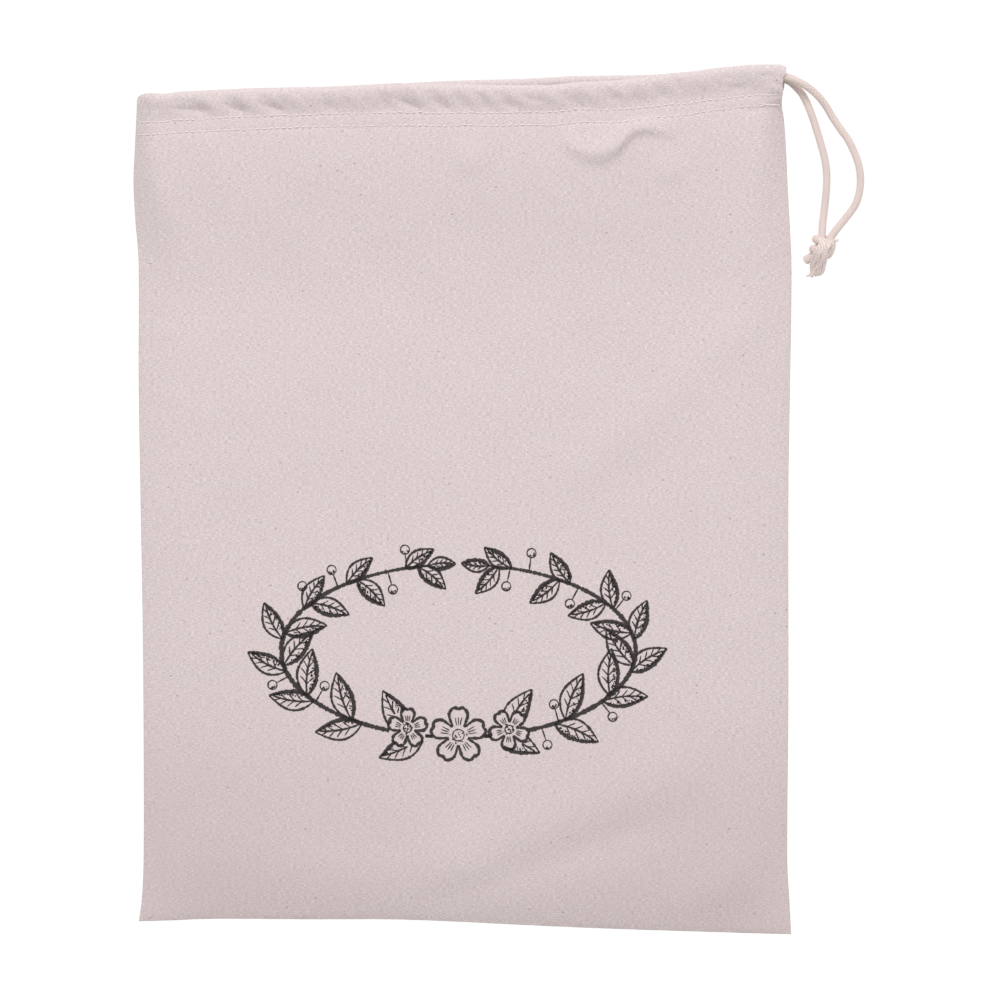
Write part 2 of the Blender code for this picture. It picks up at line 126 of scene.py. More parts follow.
# Small gathers beside the seams, and how far from the seams and the hem the other folds fade
GATHER_REACH = 7.0
GATHER_HEIGHT = 0.28
GATHER_LENGTH = 9.0
STITCH_RIPPLE = 0.12
FOLD_FADE = 22.0
DIP_FADE = 60.0

# Corners of the outline (x, y)
BOTTOM_LEFT = (-149.9, -195.2)
BOTTOM_RIGHT = (152.0, -201.2)
TOP_LEFT = (-150.3, 187.6)
TOP_RIGHT = (149.8, 200.9)

# How far each edge bows out of the straight line between its corners: share of the edge, bow
LEFT_BOW = (
    (0.0, 0.0), (0.026, -1.4), (0.074, -2.3), (0.22, -2.4), (0.364, -2.0), (0.509, -1.1),
    (0.654, -0.3), (0.80, -0.3), (0.848, 1.1), (0.896, 1.9), (0.945, 1.0), (1.0, 0.0),
)
RIGHT_BOW = (
    (0.0, 0.0), (0.039, -0.8), (0.085, -1.7), (0.27, -0.8), (0.50, -0.3), (0.592, 0.4),
    (0.73, 1.6), (0.776, 1.7), (0.822, 0.9), (0.868, 0.0), (0.914, -0.8), (0.94, -1.6),
    (0.953, -2.4), (0.965, -2.1), (0.974, -1.2), (0.988, -0.6), (1.0, -0.1),
)
TOP_BOW = (
    (0.0, 0.0), (0.018, -0.3), (0.036, -0.9), (0.05, -0.8), (0.064, -0.3), (0.083, -0.3),
    (0.176, -0.2), (0.30, -1.0), (0.39, -0.8), (0.484, -0.6), (0.608, -1.1), (0.669, -0.9),
    (0.793, -1.8), (0.854, -1.4), (0.885, -0.4), (0.916, 0.1), (0.947, 0.6), (1.0, 0.0),
)
BOTTOM_BOW = (
    (0.0, 0.0), (0.051, -0.8), (0.112, -1.9), (0.265, -2.6), (0.388, -3.3), (0.48, -2.9),
    (0.603, -1.8), (0.725, -1.0), (0.848, -0.5), (1.0, 0.0),
)

# How far the front fold lies below the back fold: x, drop
FRONT_DIP = (
    (-29.0, 0.0), (-20.0, 0.8), (0.0, 1.9), (18.0, 2.8), (32.0, 3.2), (42.0, 3.7),
    (53.0, 3.0), (73.0, 2.3), (95.0, 0.0),
)

# How far the mouth stands open between the two hems: share of the width, opening
MOUTH_OPENING = ((0.0, 4.6), (0.80, 4.6), (0.93, 2.0), (1.0, 0.5))

# Long soft folds of the front cloth: start x, y, end x, y, width, height (a trough is negative)
LONG_FOLDS = (
    (142.0, 88.0, 50.0, 9.0, 25.0, 1.2),
    (-112.0, -74.0, -130.0, -167.0, 20.0, -1.0),
    (-10.0, -170.0, 110.0, -120.0, 34.0, 2.0),
    (-20.0, -190.0, 91.0, -147.0, 15.0, -0.9),
    (150.0, -160.0, 96.0, -196.0, 22.0, 1.3),
)

# Its soft bumps: height, wavelength, seed, distance from the seams over which they fade
BODY_BUMPS = ((0.16, 44.0, 2, 12.0), (0.05, 15.0, 3, 4.0))

# Small creases of the front cloth, in the form of the long folds
CREASES = (
    (-118.0, 168.0, -108.0, 142.0, 8.0, 0.35),
    (-92.0, 170.0, -86.0, 150.0, 9.0, 0.3),
    (-150.0, 92.0, -136.0, 91.0, 4.0, 0.35),
    (-150.0, 78.0, -132.0, 76.0, 5.0, 0.45),
    (-150.0, 64.0, -138.0, 65.0, 3.6, 0.3),
    (-150.0, 49.0, -130.0, 47.0, 5.0, 0.45),
    (-150.0, 33.0, -136.0, 34.0, 4.0, 0.35),
    (-150.0, 18.0, -133.0, 15.0, 5.0, 0.4),
    (-150.0, 4.0, -138.0, 4.0, 4.0, 0.3),
    (150.0, 118.0, 137.0, 112.0, 6.0, 0.35),
    (151.0, 60.0, 140.0, 57.0, 5.0, 0.3),
    (152.0, 12.0, 138.0, 8.0, 6.0, 0.35),
    (131.0, 179.5, 145.0, 181.6, 2.2, -0.5),
)

# Hanging folds under the hem: edge as x and y, height, reach above, reach below
SWAGS = (
    (
        (
            (43.0, 168.2), (49.0, 163.4), (56.0, 159.9), (60.0, 159.1), (64.0, 158.9), (69.0, 160.8),
            (73.5, 164.8), (77.5, 169.4), (82.0, 171.7), (88.0, 171.3), (94.0, 169.9), (100.0, 169.4),
        ),
        2.9, 8.0, 2.6,
    ),
    (((-6.6, 159.0), (-1.6, 157.5), (3.4, 157.0), (8.4, 157.5), (13.4, 159.0)), 1.2, 9.0, 6.0),
    (((87.0, 153.0), (91.5, 151.5), (96.0, 151.0), (100.5, 151.5), (105.0, 153.0)), 0.9, 7.0, 4.0),
)

# Slanting folds of the front casing, broad ones before fine ones: x at the fold, half width, height
CASING_PUCKERS = (
    (-123.7, 6.4, 1.0), (-105.5, 5.6, 1.2), (-83.6, 6.8, 0.9), (-56.7, 7.6, 0.7), (-38.0, 3.5, 0.8),
    (-26.2, 4.8, 1.0), (-13.2, 4.4, 0.8), (-2.7, 4.4, 0.8), (7.4, 4.4, 0.9), (19.4, 4.8, 0.9),
    (34.9, 6.2, 1.0), (52.9, 6.2, 1.0), (67.9, 4.5, 0.8), (78.9, 4.0, 0.7), (89.0, 4.0, 0.6),
    (105.4, 8.0, 0.6), (127.4, 6.0, 0.5),
    (-140.0, 3.0, 0.35), (-114.0, 2.6, 0.3), (-93.0, 2.6, 0.3), (-74.0, 3.0, 0.35), (-64.0, 3.0, 0.3),
    (-48.0, 3.0, 0.35), (13.5, 2.6, 0.3), (27.0, 3.0, 0.35), (43.0, 3.0, 0.3), (60.0, 2.6, 0.3),
    (97.0, 3.0, 0.35), (114.0, 3.5, 0.35), (135.0, 4.0, 0.4),
)
PUCKER_SLANT = 0.95
PUCKER_FADE = 9.4

# Narrow valleys between them and beside the open end, in the form of the creases
CASING_VALLEYS = (
    (-146.6, 182.4, -141.3, 180.4, 4.0, -0.6), (-135.3, 182.8, -118.0, 179.2, 4.8, -1.4),
    (-114.5, 187.0, -101.0, 178.6, 3.4, -1.8), (-96.4, 187.0, -83.0, 178.6, 3.6, -1.8),
    (-66.7, 187.8, -60.6, 179.8, 2.8, -1.2), (-38.5, 187.6, -33.5, 179.8, 2.2, -1.1),
    (-32.7, 187.4, -20.4, 179.8, 3.0, -1.6), (-16.4, 188.2, -7.4, 180.0, 3.4, -1.2),
    (-3.6, 187.5, 1.4, 180.4, 4.2, -0.6), (7.8, 187.5, 10.6, 180.4, 2.6, -0.9),
    (16.0, 187.8, 23.4, 180.6, 2.6, -1.3), (29.2, 186.6, 35.5, 184.0, 2.2, -0.8),
    (47.2, 188.0, 55.0, 180.8, 2.6, -1.3), (65.7, 189.0, 71.6, 184.4, 3.2, -1.0),
    (79.4, 187.2, 82.6, 182.0, 2.6, -0.9), (89.1, 191.0, 92.6, 185.4, 2.8, -0.9),
    (99.8, 194.0, 102.4, 189.4, 2.8, -0.8), (119.0, 194.2, 129.8, 190.4, 5.0, -0.8),
    (138.6, 196.2, 147.2, 192.4, 3.0, -1.3), (140.5, 191.0, 146.0, 189.8, 5.0, 0.9),
    (139.0, 182.4, 145.5, 182.2, 1.1, -0.35), (144.2, 187.3, 149.6, 186.4, 1.6, -0.5),
)

# Stitching: how far the first row lies below the fold and the second below the first, at shares of
# the width, with the usual gap between them
FIRST_ROW = (
    (0.0, 13.5), (0.02, 13.4), (0.036, 12.8), (0.052, 12.8), (0.066, 13.2), (0.11, 13.0),
    (0.23, 13.1), (0.29, 12.6), (0.35, 12.8), (0.42, 13.8), (0.48, 13.3), (0.54, 12.9), (0.60, 12.6),
    (0.66, 12.5), (0.72, 12.9), (0.78, 13.6), (0.845, 14.3), (0.91, 14.1), (0.975, 13.6), (1.0, 13.0),
)
ROW_GAP = 5.9
SECOND_ROW = (
    (0.0, ROW_GAP), (0.74, ROW_GAP), (0.79, 5.6), (0.843, 5.2), (0.887, 4.9), (0.945, 4.8), (1.0, 4.6),
)

# Stitches: spacing, start and length of each, its arch, and how evenly they stand
STITCH_PITCH = 3.0
STITCH_START = 0.3
STITCH_LENGTH = 2.3
STITCH_RADIUS = 0.31
STITCH_RINGS = 8
STITCH_ARCH = 0.4
STITCH_SUNK = 0.16
STITCH_LEAN = 0.45
STITCH_WANDER = 0.1
BACK_ARCH_SHARE = 0.6

# Their rows: distance from the seams, wander, and how they dent the front and raise the back
ROWS_FROM = 1.2
ROWS_TO_EDGE = 3.5
ROW_WANDER = 0.28
ROW_DENT = 0.2
ROW_DENT_WIDTH = 0.9
BACK_ROW_RISE = 0.52

# Loose ends of thread on the front: places and radius, spacing of their rings, gap to the cloth
THREAD_ENDS = (
    (((138.4, 183.0), (142.4, 182.8), (146.4, 182.8)), 0.3),
    (((129.2, 135.6), (131.4, 133.9), (132.4, 132.2), (134.4, 130.2)), 0.2),
)
THREAD_SPACING = 0.4
THREAD_CLEAR = 0.12

# Free cord ends from inside the casings to the knot: x, y, z.
FRONT_CORD_ROUTE = (
    (139.6, 195.6, 10.6), (144.6, 195.7, 10.2), (149.7, 195.4, 9.8), (153.8, 194.0, 9.4),
    (158.9, 191.2, 8.4), (163.6, 187.5, 6.2), (167.7, 182.7, 3.9), (171.4, 176.6, 2.4),
    (175.1, 171.1, 1.9), (178.4, 166.5, 1.9), (182.1, 158.6, 1.9), (183.9, 151.6, 1.9),
    (183.9, 144.2, 1.9), (182.1, 137.3, 1.9), (178.4, 131.7, 2.4), (173.4, 125.5, 3.6),
    (170.9, 122.1, 4.5),
)
BACK_CORD_ROUTE = (
    (139.6, 195.6, 3.1), (144.6, 195.3, 3.1), (149.7, 194.2, 3.1), (152.7, 192.4, 2.9),
    (155.3, 189.8, 2.5), (157.5, 187.0, 2.1), (159.9, 182.2, 1.9), (162.0, 176.6, 1.9),
    (163.8, 171.1, 1.9), (165.5, 165.5, 1.9), (167.5, 158.1, 1.9), (168.4, 151.6, 1.9),
    (168.4, 145.2, 1.9), (167.9, 138.7, 1.9), (167.2, 132.8, 2.2), (166.6, 127.8, 3.2),
    (166.3, 123.4, 4.4),
)

# The cord that the casings hold: share of the width at its ends, stops along a casing and round
# the turn, share from which it lies lower, radius, spacing and sides of its rings
HELD_TO = (FRONT_CORD_ROUTE[0][0] - CORD_GAP - TOP_LEFT[0]) / (TOP_RIGHT[0] - TOP_LEFT[0])
HELD_STOPS = 60
TURN_STEPS = 12
LOWERS_FROM = 0.8
HELD_RADIUS = 1.75
HELD_SPACING = 1.2
HELD_SIDES = 16

# Braid of the cord: strands each way, length of one turn, relief, its mean inside the cord's radius,
# spacing and sides of the rings, and how far a free end runs on into the knot
STRANDS = 12
BRAID_TURN = 12.5
BRAID_RELIEF = 0.2
BRAID_INSET = 0.09
RING_SPACING = 0.28
CORD_SIDES = 48
CORD_RUN_ON = 2.2

# Knot frame: middle on the surface below it, and the way its cords come in
KNOT_X = 166.3
KNOT_Y = 116.9
KNOT_ALONG = (0.354, 0.935)

# Its strands: heights and ends of their straight cores, the wraps' half height and steps, the gap
# below them and the rounding of the tails
KNOT_CORE_Z = 4.7
SECOND_CORE_Z = 4.4
CORE_TOP = 2.0
CORE_FOOT = -2.8
WRAP_HALF_HEIGHT = 2.7
WRAP_STEPS = 20
KNOT_CLEAR = 0.12
TAIL_ROUNDING = 0.9

# The two strands of the knot: way in, core across, half width, wrap start, wrap end, tail
KNOT_STRANDS = (
    (
        ((-2.2, 5.6, 4.6), (-1.3, 2.0, 4.7), (-1.3, -2.8, 4.7)), -1.3, 3.8, 1.8, 2.6,
        ((-2.1, -4.8, 4.0), (-2.7, -5.7, 3.6), (-4.0, -7.4, 2.8), (-5.2, -9.0, 2.1)),
    ),
    (
        ((2.2, 5.7, 4.6), (2.1, 4.9, 4.8), (3.5, 2.9, 5.4), (4.0, 0.4, 5.5), (3.4, -2.6, 4.8)),
        1.3, 3.4, -1.1, -2.9,
        ((1.6, -6.4, 3.6), (2.2, -8.4, 2.6)),
    ),
)

# Frayed tail: its locks, the yarns twisted into each, their radius, distance from its middle and turn
FRAY_LOCKS = 6
YARNS_IN_LOCK = 4
FRAY_RADIUS = 0.44
YARN_OFF = 0.5
LOCK_TWIST = 8.0

# Its course from the root to the tips: left side, right side, wander, and its crown's height
FRAY_PATH = (
    ((-2.2, 3.9, 5.6), (2.8, 4.3, 5.4), 0.1),
    ((-2.2, 2.6, 8.1), (2.9, 3.0, 8.0), 0.15),
    ((-1.7, 0.7, 9.1), (2.8, 1.2, 9.1), 0.2),
    ((-2.2, -2.1, 9.0), (3.2, -1.4, 9.0), 0.25),
    ((-2.6, -4.7, 7.4), (4.1, -4.3, 7.4), 0.3),
    ((-2.1, -8.7, 4.0), (4.5, -8.0, 4.2), 0.3),
    ((-1.3, -12.0, 1.8), (3.7, -11.2, 2.1), 0.3),
    ((0.2, -14.9, 0.9), (1.9, -14.2, 0.9), 0.35),
)
FRAY_CROWN = (0.4, 0.8, 1.1, 1.2, 1.4, 1.5, 1.1, 0.5)

# Fine fibres round the knot, and small tufts that stand off it: start and end, across, along, height
FLYAWAYS = 16
FIBRE_RADIUS = 0.07
WISP_RADIUS = 0.2
WISPS = (
    ((3.6, 4.1, 6.8), (5.9, 5.7, 6.2)), ((3.8, 3.8, 6.8), (5.6, 5.2, 6.2)),
    ((-0.2, -13.0, 1.4), (-1.4, -14.8, 0.8)), ((0.1, -13.4, 1.2), (-1.7, -15.1, 0.8)),
)

# Mesh of each cloth: spacing of its columns, then of its rows below and at the mouth (from, to, step)
FRONT_MESH = (1.6, (LENGTH - 11.5, 32.0, 2.7), (32.0, FOLD_REACH, 0.8))
BACK_MESH = (2.6, (LENGTH - 12.0, 30.0, 5.0), (30.0, FOLD_REACH, 1.4))
EDGE_ROWS = (0.0, 0.4, 0.8, 1.3, 2.0, 3.0, 4.5, 6.5, 9.0)
EDGE_COLUMNS = (0.0, 0.4, 0.8, 1.3, 2.0, 3.0, 4.2, 5.6, 7.2, 9.0, 11.0, 13.0)
HEM_ROW_STEP = 1.2

# The printed garland: middle, half width, half height, leaves of each branch, and both leaves of a
# pair (side, lean, greatest length)
GARLAND_X = -2.0
GARLAND_Y = -70.0
GARLAND_HALF_WIDTH = 82.0
GARLAND_HALF_HEIGHT = 40.0
LEAVES_A_SIDE = 8
LEAF_PAIR = ((1, 0.95, 25.0), (-1, 0.6, 24.0))
LEAF_WIDTH = 0.42
BERRY_RADIUS = 2.1
BERRY_OFF = 8.6
STALK = 6.3
PRINT_LIFT = CLOTH / 2 + 0.09
STROKE_STEP = 0.7

# Its flowers: place from the bottom of the oval, radius, turn
GARLAND_FLOWERS = (
    (0.0, 1.0, 13.5, math.pi / 2), (-23.5, 4.2, 9.6, 0.3), (23.5, 3.6, 9.8, 0.9),
)

# Spacing of the woven threads, where painted shade darkens the cloth towards its bottom and lower corners,
# and the colours
THREAD_PITCH = 0.62
PAINTED_SHADE_FROM = 125.0
PAINTED_SHADE_OVER = 85.0
PAINTED_SHADE_HALF_WIDTH = 115.0
CLOTH_PINK = (0.727, 0.607, 0.617, 1.0)
CLOTH_BEIGE = (0.710, 0.630, 0.617, 1.0)
CLOTH_PAINTED_SHADE = (0.40, 0.30, 0.29, 1.0)
CLOTH_FLECK = (0.20, 0.15, 0.13, 1.0)
CLOTH_PINK_FLECK = (0.55, 0.33, 0.31, 1.0)
PINHOLE_SHADE = (0.26, 0.21, 0.20, 1.0)
CORD_CREAM = (0.89, 0.775, 0.735, 1.0)
CORD_SHADE = (0.56, 0.42, 0.38, 1.0)
YARN_LIGHT = (0.89, 0.80, 0.785, 1.0)
YARN_SHADE = (0.64, 0.52, 0.47, 1.0)
THREAD_LIGHT = (0.90, 0.83, 0.81, 1.0)
THREAD_SHADE = (0.70, 0.62, 0.60, 1.0)
INK_BLACK = (0.022, 0.018, 0.018, 1.0)
INK_BROWN = (0.05, 0.04, 0.038, 1.0)
FLOOR_WHITE = (0.9, 0.9, 0.9)
WHITE = (1.0, 1.0, 1.0, 1.0)


def smooth_step(value, start=0.0, run=1.0):
    """0 up to the start, 1 after the run, with level ends."""
    share = np.clip((np.asarray(value, float) - start) / run, 0.0, 1.0)
    return share * share * (3.0 - 2.0 * share)


def bell(off, reach):
    """1 in the middle, falling to 0 on both sides."""
    return np.exp(-((off / reach) ** 2))


def paired(across, down):
    """Both coordinates as arrays of one shape."""
    return np.broadcast_arrays(np.asarray(across, float), np.asarray(down, float))


def read_table(table, at):
    """The values at these places, on a smooth curve through the rows."""
    places, values = np.array(table, float).T
    before, after = np.clip(np.arange(len(places)) + [[-1], [1]], 0, len(places) - 1)
    slopes = (values[after] - values[before]) / (places[after] - places[before])
    at = np.clip(np.asarray(at, float), places[0], places[-1])
    index = np.clip(np.searchsorted(places, at, side="right") - 1, 0, len(places) - 2)
    run = places[index + 1] - places[index]
    part = (at - places[index]) / run
    rest = 1.0 - part
    return (
        (1.0 + 2.0 * part) * rest**2 * values[index]
        + part * rest**2 * slopes[index] * run
        + part**2 * (3.0 - 2.0 * part) * values[index + 1]
        - part**2 * rest * slopes[index + 1] * run
    )


def straight(start, end, share):
    """Points on the line between two corners."""
    share = np.asarray(share, float)[..., None]
    return np.array(start) * (1.0 - share) + np.array(end) * share


def cloth_xy(across, down):
    """Where points of the flat outline lie: share of the width, distance below the top edge."""
    across, down = paired(across, down)
    up = 1.0 - down / LENGTH
    left = straight(BOTTOM_LEFT, TOP_LEFT, up)
    right = straight(BOTTOM_RIGHT, TOP_RIGHT, up)
    bow_x = read_table(RIGHT_BOW, up) * across - read_table(LEFT_BOW, up) * (1.0 - across)
    bow_y = read_table(TOP_BOW, across) * up - read_table(BOTTOM_BOW, across) * (1.0 - up)
    across = across[..., None]
    return left * (1.0 - across) + right * across + np.stack([bow_x, bow_y], axis=-1)


def near_open_end(across, reach):
    """1 at a casing's open end, falling to 0 at this distance from it."""
    return np.clip(1.0 - (1.0 - np.asarray(across)) * WIDTH / reach, 0.0, 1.0) ** 2


def back_xy(across, down):
    """The same on the back cloth, whose fold draws back at the casing's open end."""
    point = cloth_xy(across, down)
    fold = 1.0 - smooth_step(down, 0.0, CASING_OPEN_TO)
    point[..., 1] -= END_DROP * near_open_end(across, END_ROUNDING) * fold
    return point


def front_xy(across, down):
    """The same on the front cloth: its fold lies lower in the middle and its open end farther in."""
    point = back_xy(across, down)
    fade = 1.0 - smooth_step(down, HEM_DEPTH, DIP_FADE)
    mouth = smooth_step(down, END_DRAW_FROM, 2.0) * (1.0 - smooth_step(down, END_DRAW_TO, 4.0))
    point[..., 1] -= read_table(FRONT_DIP, point[..., 0]) * fade
    point[..., 0] -= END_DRAW * near_open_end(across, END_DRAW_REACH) * mouth
    return point


def layers_apart(down):
    """Middle of the cloth to middle of its hem: open round the cord, then shut by the stitching."""
    shut = np.clip((down - SLOPE_FROM) / (CASING_SHUT_AT - SLOPE_FROM), 0.0, 1.0)
    shut = 0.35 * shut + 0.65 * smooth_step(shut)
    return CASING + (LAYER - CASING) * shut


def shoulder(inset, width):
    """Share of its full height that the cloth has reached at this distance from a seam."""
    return 1.0 - (1.0 - np.clip(inset / width, 0.0, 1.0)) ** 2


def ridge(point, fold):
    """Height of one long fold at each point."""
    start_x, start_y, end_x, end_y, width, height = fold
    along_x = end_x - start_x
    along_y = end_y - start_y
    length = math.hypot(along_x, along_y)
    off_x = point[..., 0] - start_x
    off_y = point[..., 1] - start_y
    share = (off_x * along_x + off_y * along_y) / length**2
    away = (off_x * along_y - off_y * along_x) / length
    ends = smooth_step(share * 4.0 + 0.5) * smooth_step((1.0 - share) * 4.0 + 0.5)
    return height * ends * bell(2.0 * away, width)


def ridges(point, folds):
    """Height of several folds together."""
    return sum(ridge(point, fold) for fold in folds)


def swag(point, row):
    """Height of one hanging fold: soft above, steep below its edge."""
    edge, height, above, below = row
    half_width = (edge[-1][0] - edge[0][0]) / 2.0
    share = np.clip((point[..., 0] - edge[0][0]) / half_width - 1.0, -1.0, 1.0)
    off = point[..., 1] - read_table(edge, point[..., 0])
    return height * (1.0 - share**2) * bell(off, np.where(off > 0, above, below))


def pucker(point, down, row):
    """Height of one slanting fold of the casing."""
    x, half_width, height = row
    ends = smooth_step(down, 0.0, FOLD_REACH) * (1.0 - smooth_step(down, CORD_DOWN, PUCKER_FADE))
    return height * ends * bell(2.0 * (point[..., 0] - x - down * PUCKER_SLANT), half_width)


def cord_down(across):
    """How far below the fold the held cord lies."""
    near_exit = smooth_step(across, LOWERS_FROM, HELD_TO - LOWERS_FROM)
    return CORD_DOWN + (CORD_DOWN_AT_EXIT - CORD_DOWN) * near_exit


def casing_folds(point, across, down):
    """Height of all the small folds of the front casing, where the cloth may lie on the cord."""
    folds = sum(pucker(point, down, row) for row in CASING_PUCKERS)
    folds = folds + ridges(point, CASING_VALLEYS) * smooth_step(down, 0.0, FOLD_REACH)
    over_cord = ON_CORD - OFF_CORD * (down - cord_down(across)) ** 2
    return np.maximum(folds, over_cord - layers_apart(down) / 2.0)


def unevenness(x, y, wavelength, seed):
    """Soft bumps of about this wavelength, mostly between -1 and 1."""
    draw = np.random.default_rng(SEED + seed)
    waves = 14
    height = 0.0
    for turn, phase, stretch in zip(
        draw.uniform(0.0, math.pi, waves),
        draw.uniform(0.0, 2.0 * math.pi, waves),
        draw.uniform(0.7, 1.4, waves),
    ):
        pace = 2.0 * math.pi / (wavelength * stretch)
        height = height + np.cos((x * math.cos(turn) + y * math.sin(turn)) * pace + phase)
    return height / math.sqrt(waves / 2.0) / 1.6


def hem_z(across):
    """Height of the front hem where the casing is open."""
    return HEM_STACK_Z + read_table(MOUTH_OPENING, across)


def below_first_row(across, down):
    """How far below the first row a place lies, scaled so that the second row is at ROW_GAP."""
    return (down - read_table(FIRST_ROW, across)) * ROW_GAP / read_table(SECOND_ROW, across)


def near_rows(across, down):
    """1 on the two rows of stitches and 0 away from them."""
    off = below_first_row(across, down)
    return bell(off, ROW_DENT_WIDTH) + bell(off - ROW_GAP, ROW_DENT_WIDTH)


def row_dents(across, down):
    """How deep the two rows of stitches pull the front cloth in."""
    gather = 1.0 + 0.35 * unevenness(across * WIDTH, 0.0, 7.0, 1)
    return ROW_DENT * near_rows(across, down) * gather


def seam_puckers(inset, along, seed):
    """Small gathers that a sewn seam leaves in the cloth beside it."""
    near = np.exp(-inset / GATHER_REACH) * smooth_step(inset, 0.0, 1.2)
    gathers = GATHER_HEIGHT * unevenness(along, inset * 0.3, GATHER_LENGTH, seed)
    return near * (gathers + STITCH_RIPPLE * np.cos(along * 2.1))


def front_z(across, down):
    """Height of the front cloth."""
    across, down = paired(across, down)
    inset_left = across * WIDTH
    inset_right = WIDTH - inset_left
    inset_bottom = LENGTH - down
    nearest = np.minimum(np.minimum(inset_left, inset_right), inset_bottom)
    casing_top = hem_z(across) + (CASING + layers_apart(down)) / 2
    full = casing_top + (PLATEAU_Z - casing_top) * smooth_step(down, HEM_DEPTH, MOUTH_RUN)
    widening = smooth_step(down, HEM_DEPTH, SHOULDER_RUN)
    left = shoulder(inset_left, CASING_SHOULDER + (BODY_SHOULDER - CASING_SHOULDER) * widening)
    right_width = RIGHT_SHOULDER + (BODY_SHOULDER - RIGHT_SHOULDER) * widening
    sewn = smooth_step(down, RIGHT_SEAM_FROM, RIGHT_SEAM_TO - RIGHT_SEAM_FROM)
    right = 1.0 - sewn * (1.0 - shoulder(inset_right, right_width))
    corner = abs(2.0 * across - 1.0) ** 3
    bottom = shoulder(inset_bottom, BODY_SHOULDER + (CORNER_SHOULDER - BODY_SHOULDER) * corner)

    point = front_xy(across, down)
    x = point[..., 0]
    y = point[..., 1]
    folds = ridges(point, LONG_FOLDS) + sum(swag(point, row) for row in SWAGS)
    folds = folds * smooth_step(nearest, 0.0, FOLD_FADE)
    folds = folds + ridges(point, CREASES) * smooth_step(nearest, 0.0, 1.5)
    for height, wavelength, seed, reach in BODY_BUMPS:
        folds = folds + height * unevenness(x, y, wavelength, seed) * smooth_step(nearest, 0.0, reach)
    folds = folds * smooth_step(down, HEM_DEPTH - 3.0, 4.0)
    folds = folds + casing_folds(point, across, down)
    folds = folds + seam_puckers(inset_left, down, 4) + seam_puckers(inset_right, down, 5) * sewn
    folds = folds + seam_puckers(inset_bottom, x, 6)

    stacked = SEAM_Z + 2.0 * LAYER * (1.0 - smooth_step(down, HEM_DEPTH, 7.0))
    height = stacked + (full - stacked) * left * right * bottom + folds * np.minimum(left, right)
    roll = bell(inset_left, SEAM_ROLL) + bell(inset_bottom, SEAM_ROLL)
    roll = np.minimum(roll + sewn * bell(inset_right, SEAM_ROLL), 1.0)
    return height - row_dents(across, down) - SEAM_DROP * roll


def turned_hem(across, side):
    """The hem where both casings round the left edge: side is 1 on the front, -1 on the back."""
    inset = across * WIDTH
    turn = math.pi / 2.0 * (1.0 - np.minimum(inset / TURN_INSET, 1.0))
    x = TURN_INSET - TURN_RADIUS * np.sin(turn)
    rise = TURN_HALF_GAP + (TURN_RADIUS - TURN_HALF_GAP) * np.cos(turn)
    return x - inset, TURN_Z + side * rise


def front_outer(across, down):
    """The front cloth itself."""
    return np.concatenate([front_xy(across, down), front_z(across, down)[..., None]], axis=-1)


def front_hem(across, down):
    """The front cloth's hem, folded inwards."""
    point = front_xy(across, down)
    height = front_z(across, down) - casing_folds(point, across, down) - layers_apart(down)
    shift, turned = turned_hem(across, 1)
    turning = across * WIDTH < TURN_INSET
    x = point[..., 0] + np.where(turning, shift, 0.0)
    return np.stack([x, point[..., 1], np.where(turning, turned, height)], axis=-1)


def back_outer(across, down):
    """The back cloth itself, flat on the surface and turned up a little at the seams."""
    point = back_xy(across, down)
    across, down = paired(across, down)
    inset = np.minimum(np.minimum(across * WIDTH, LENGTH - down), (1.0 - across) * WIDTH)
    lift = BACK_SEAM_LIFT * bell(inset, SEAM_ROLL) * smooth_step(down, HEM_DEPTH, 7.0)
    lift = lift + BACK_ROW_RISE * near_rows(across, down)
    return np.concatenate([point, (BACK_Z + lift)[..., None]], axis=-1)


def back_hem(across, down):
    """The back cloth's hem, folded inwards."""
    point = back_xy(across, down)
    across, down = paired(across, down)
    inset = across * WIDTH
    turning = inset < TURN_INSET
    shift, turned = turned_hem(across, -1)
    open_share = (layers_apart(down) - LAYER) / (CASING - LAYER)
    flat_z = BACK_Z + layers_apart(down) + BACK_ROW_RISE * near_rows(across, down)
    flat_shift = SHUT_HEM_INSET * (1.0 - inset / TURN_INSET)
    x = point[..., 0] + np.where(turning, flat_shift + (shift - flat_shift) * open_share, 0.0)
    z = np.where(turning, flat_z + (turned - flat_z) * open_share, flat_z)
    return np.stack([x, point[..., 1], z], axis=-1)


def folded_cloth(outer, hem, shares, cloth_rows, hem_rows):
    """Points and running lengths of one cloth, from its lower edge over the fold and down its hem."""
    shares = shares[None, :]
    cloth_rows = np.array(cloth_rows)[:, None]
    hem_rows = np.array(hem_rows)[:, None]
    angles = (math.pi * np.arange(1, FOLD_STEPS) / FOLD_STEPS)[:, None, None]
    top = outer(shares, np.array([[FOLD_REACH]]))
    under = hem(shares, np.array([[FOLD_REACH]]))
    middle = (top + under) / 2.0
    lift = np.array([0.0, FOLD_REACH, 0.0]) * np.sin(angles)
    fold = middle + (top - middle) * np.cos(angles) + lift
    points = np.concatenate([outer(shares, cloth_rows), fold, hem(shares, hem_rows)])
    start = LENGTH - FOLD_REACH
    lengths = np.concatenate([
        LENGTH - cloth_rows[:, 0],
        start + FOLD_REACH * angles[:, 0, 0],
        start + FOLD_REACH * math.pi + hem_rows[:, 0] - FOLD_REACH,
    ])
    below = np.concatenate([cloth_rows[:, 0], np.zeros(FOLD_STEPS - 1), hem_rows[:, 0]])
    return points, lengths, below


def on_front(x, y, lift):
    """Points a little above the front cloth, over the given places."""
    across = (x - TOP_LEFT[0]) / WIDTH
    down = TOP_LEFT[1] - y
    for _ in range(5):
        point = front_xy(across, down)
        across = across + (x - point[..., 0]) / WIDTH
        down = down + point[..., 1] - y
    return lifted(front_outer, across, down, lift)


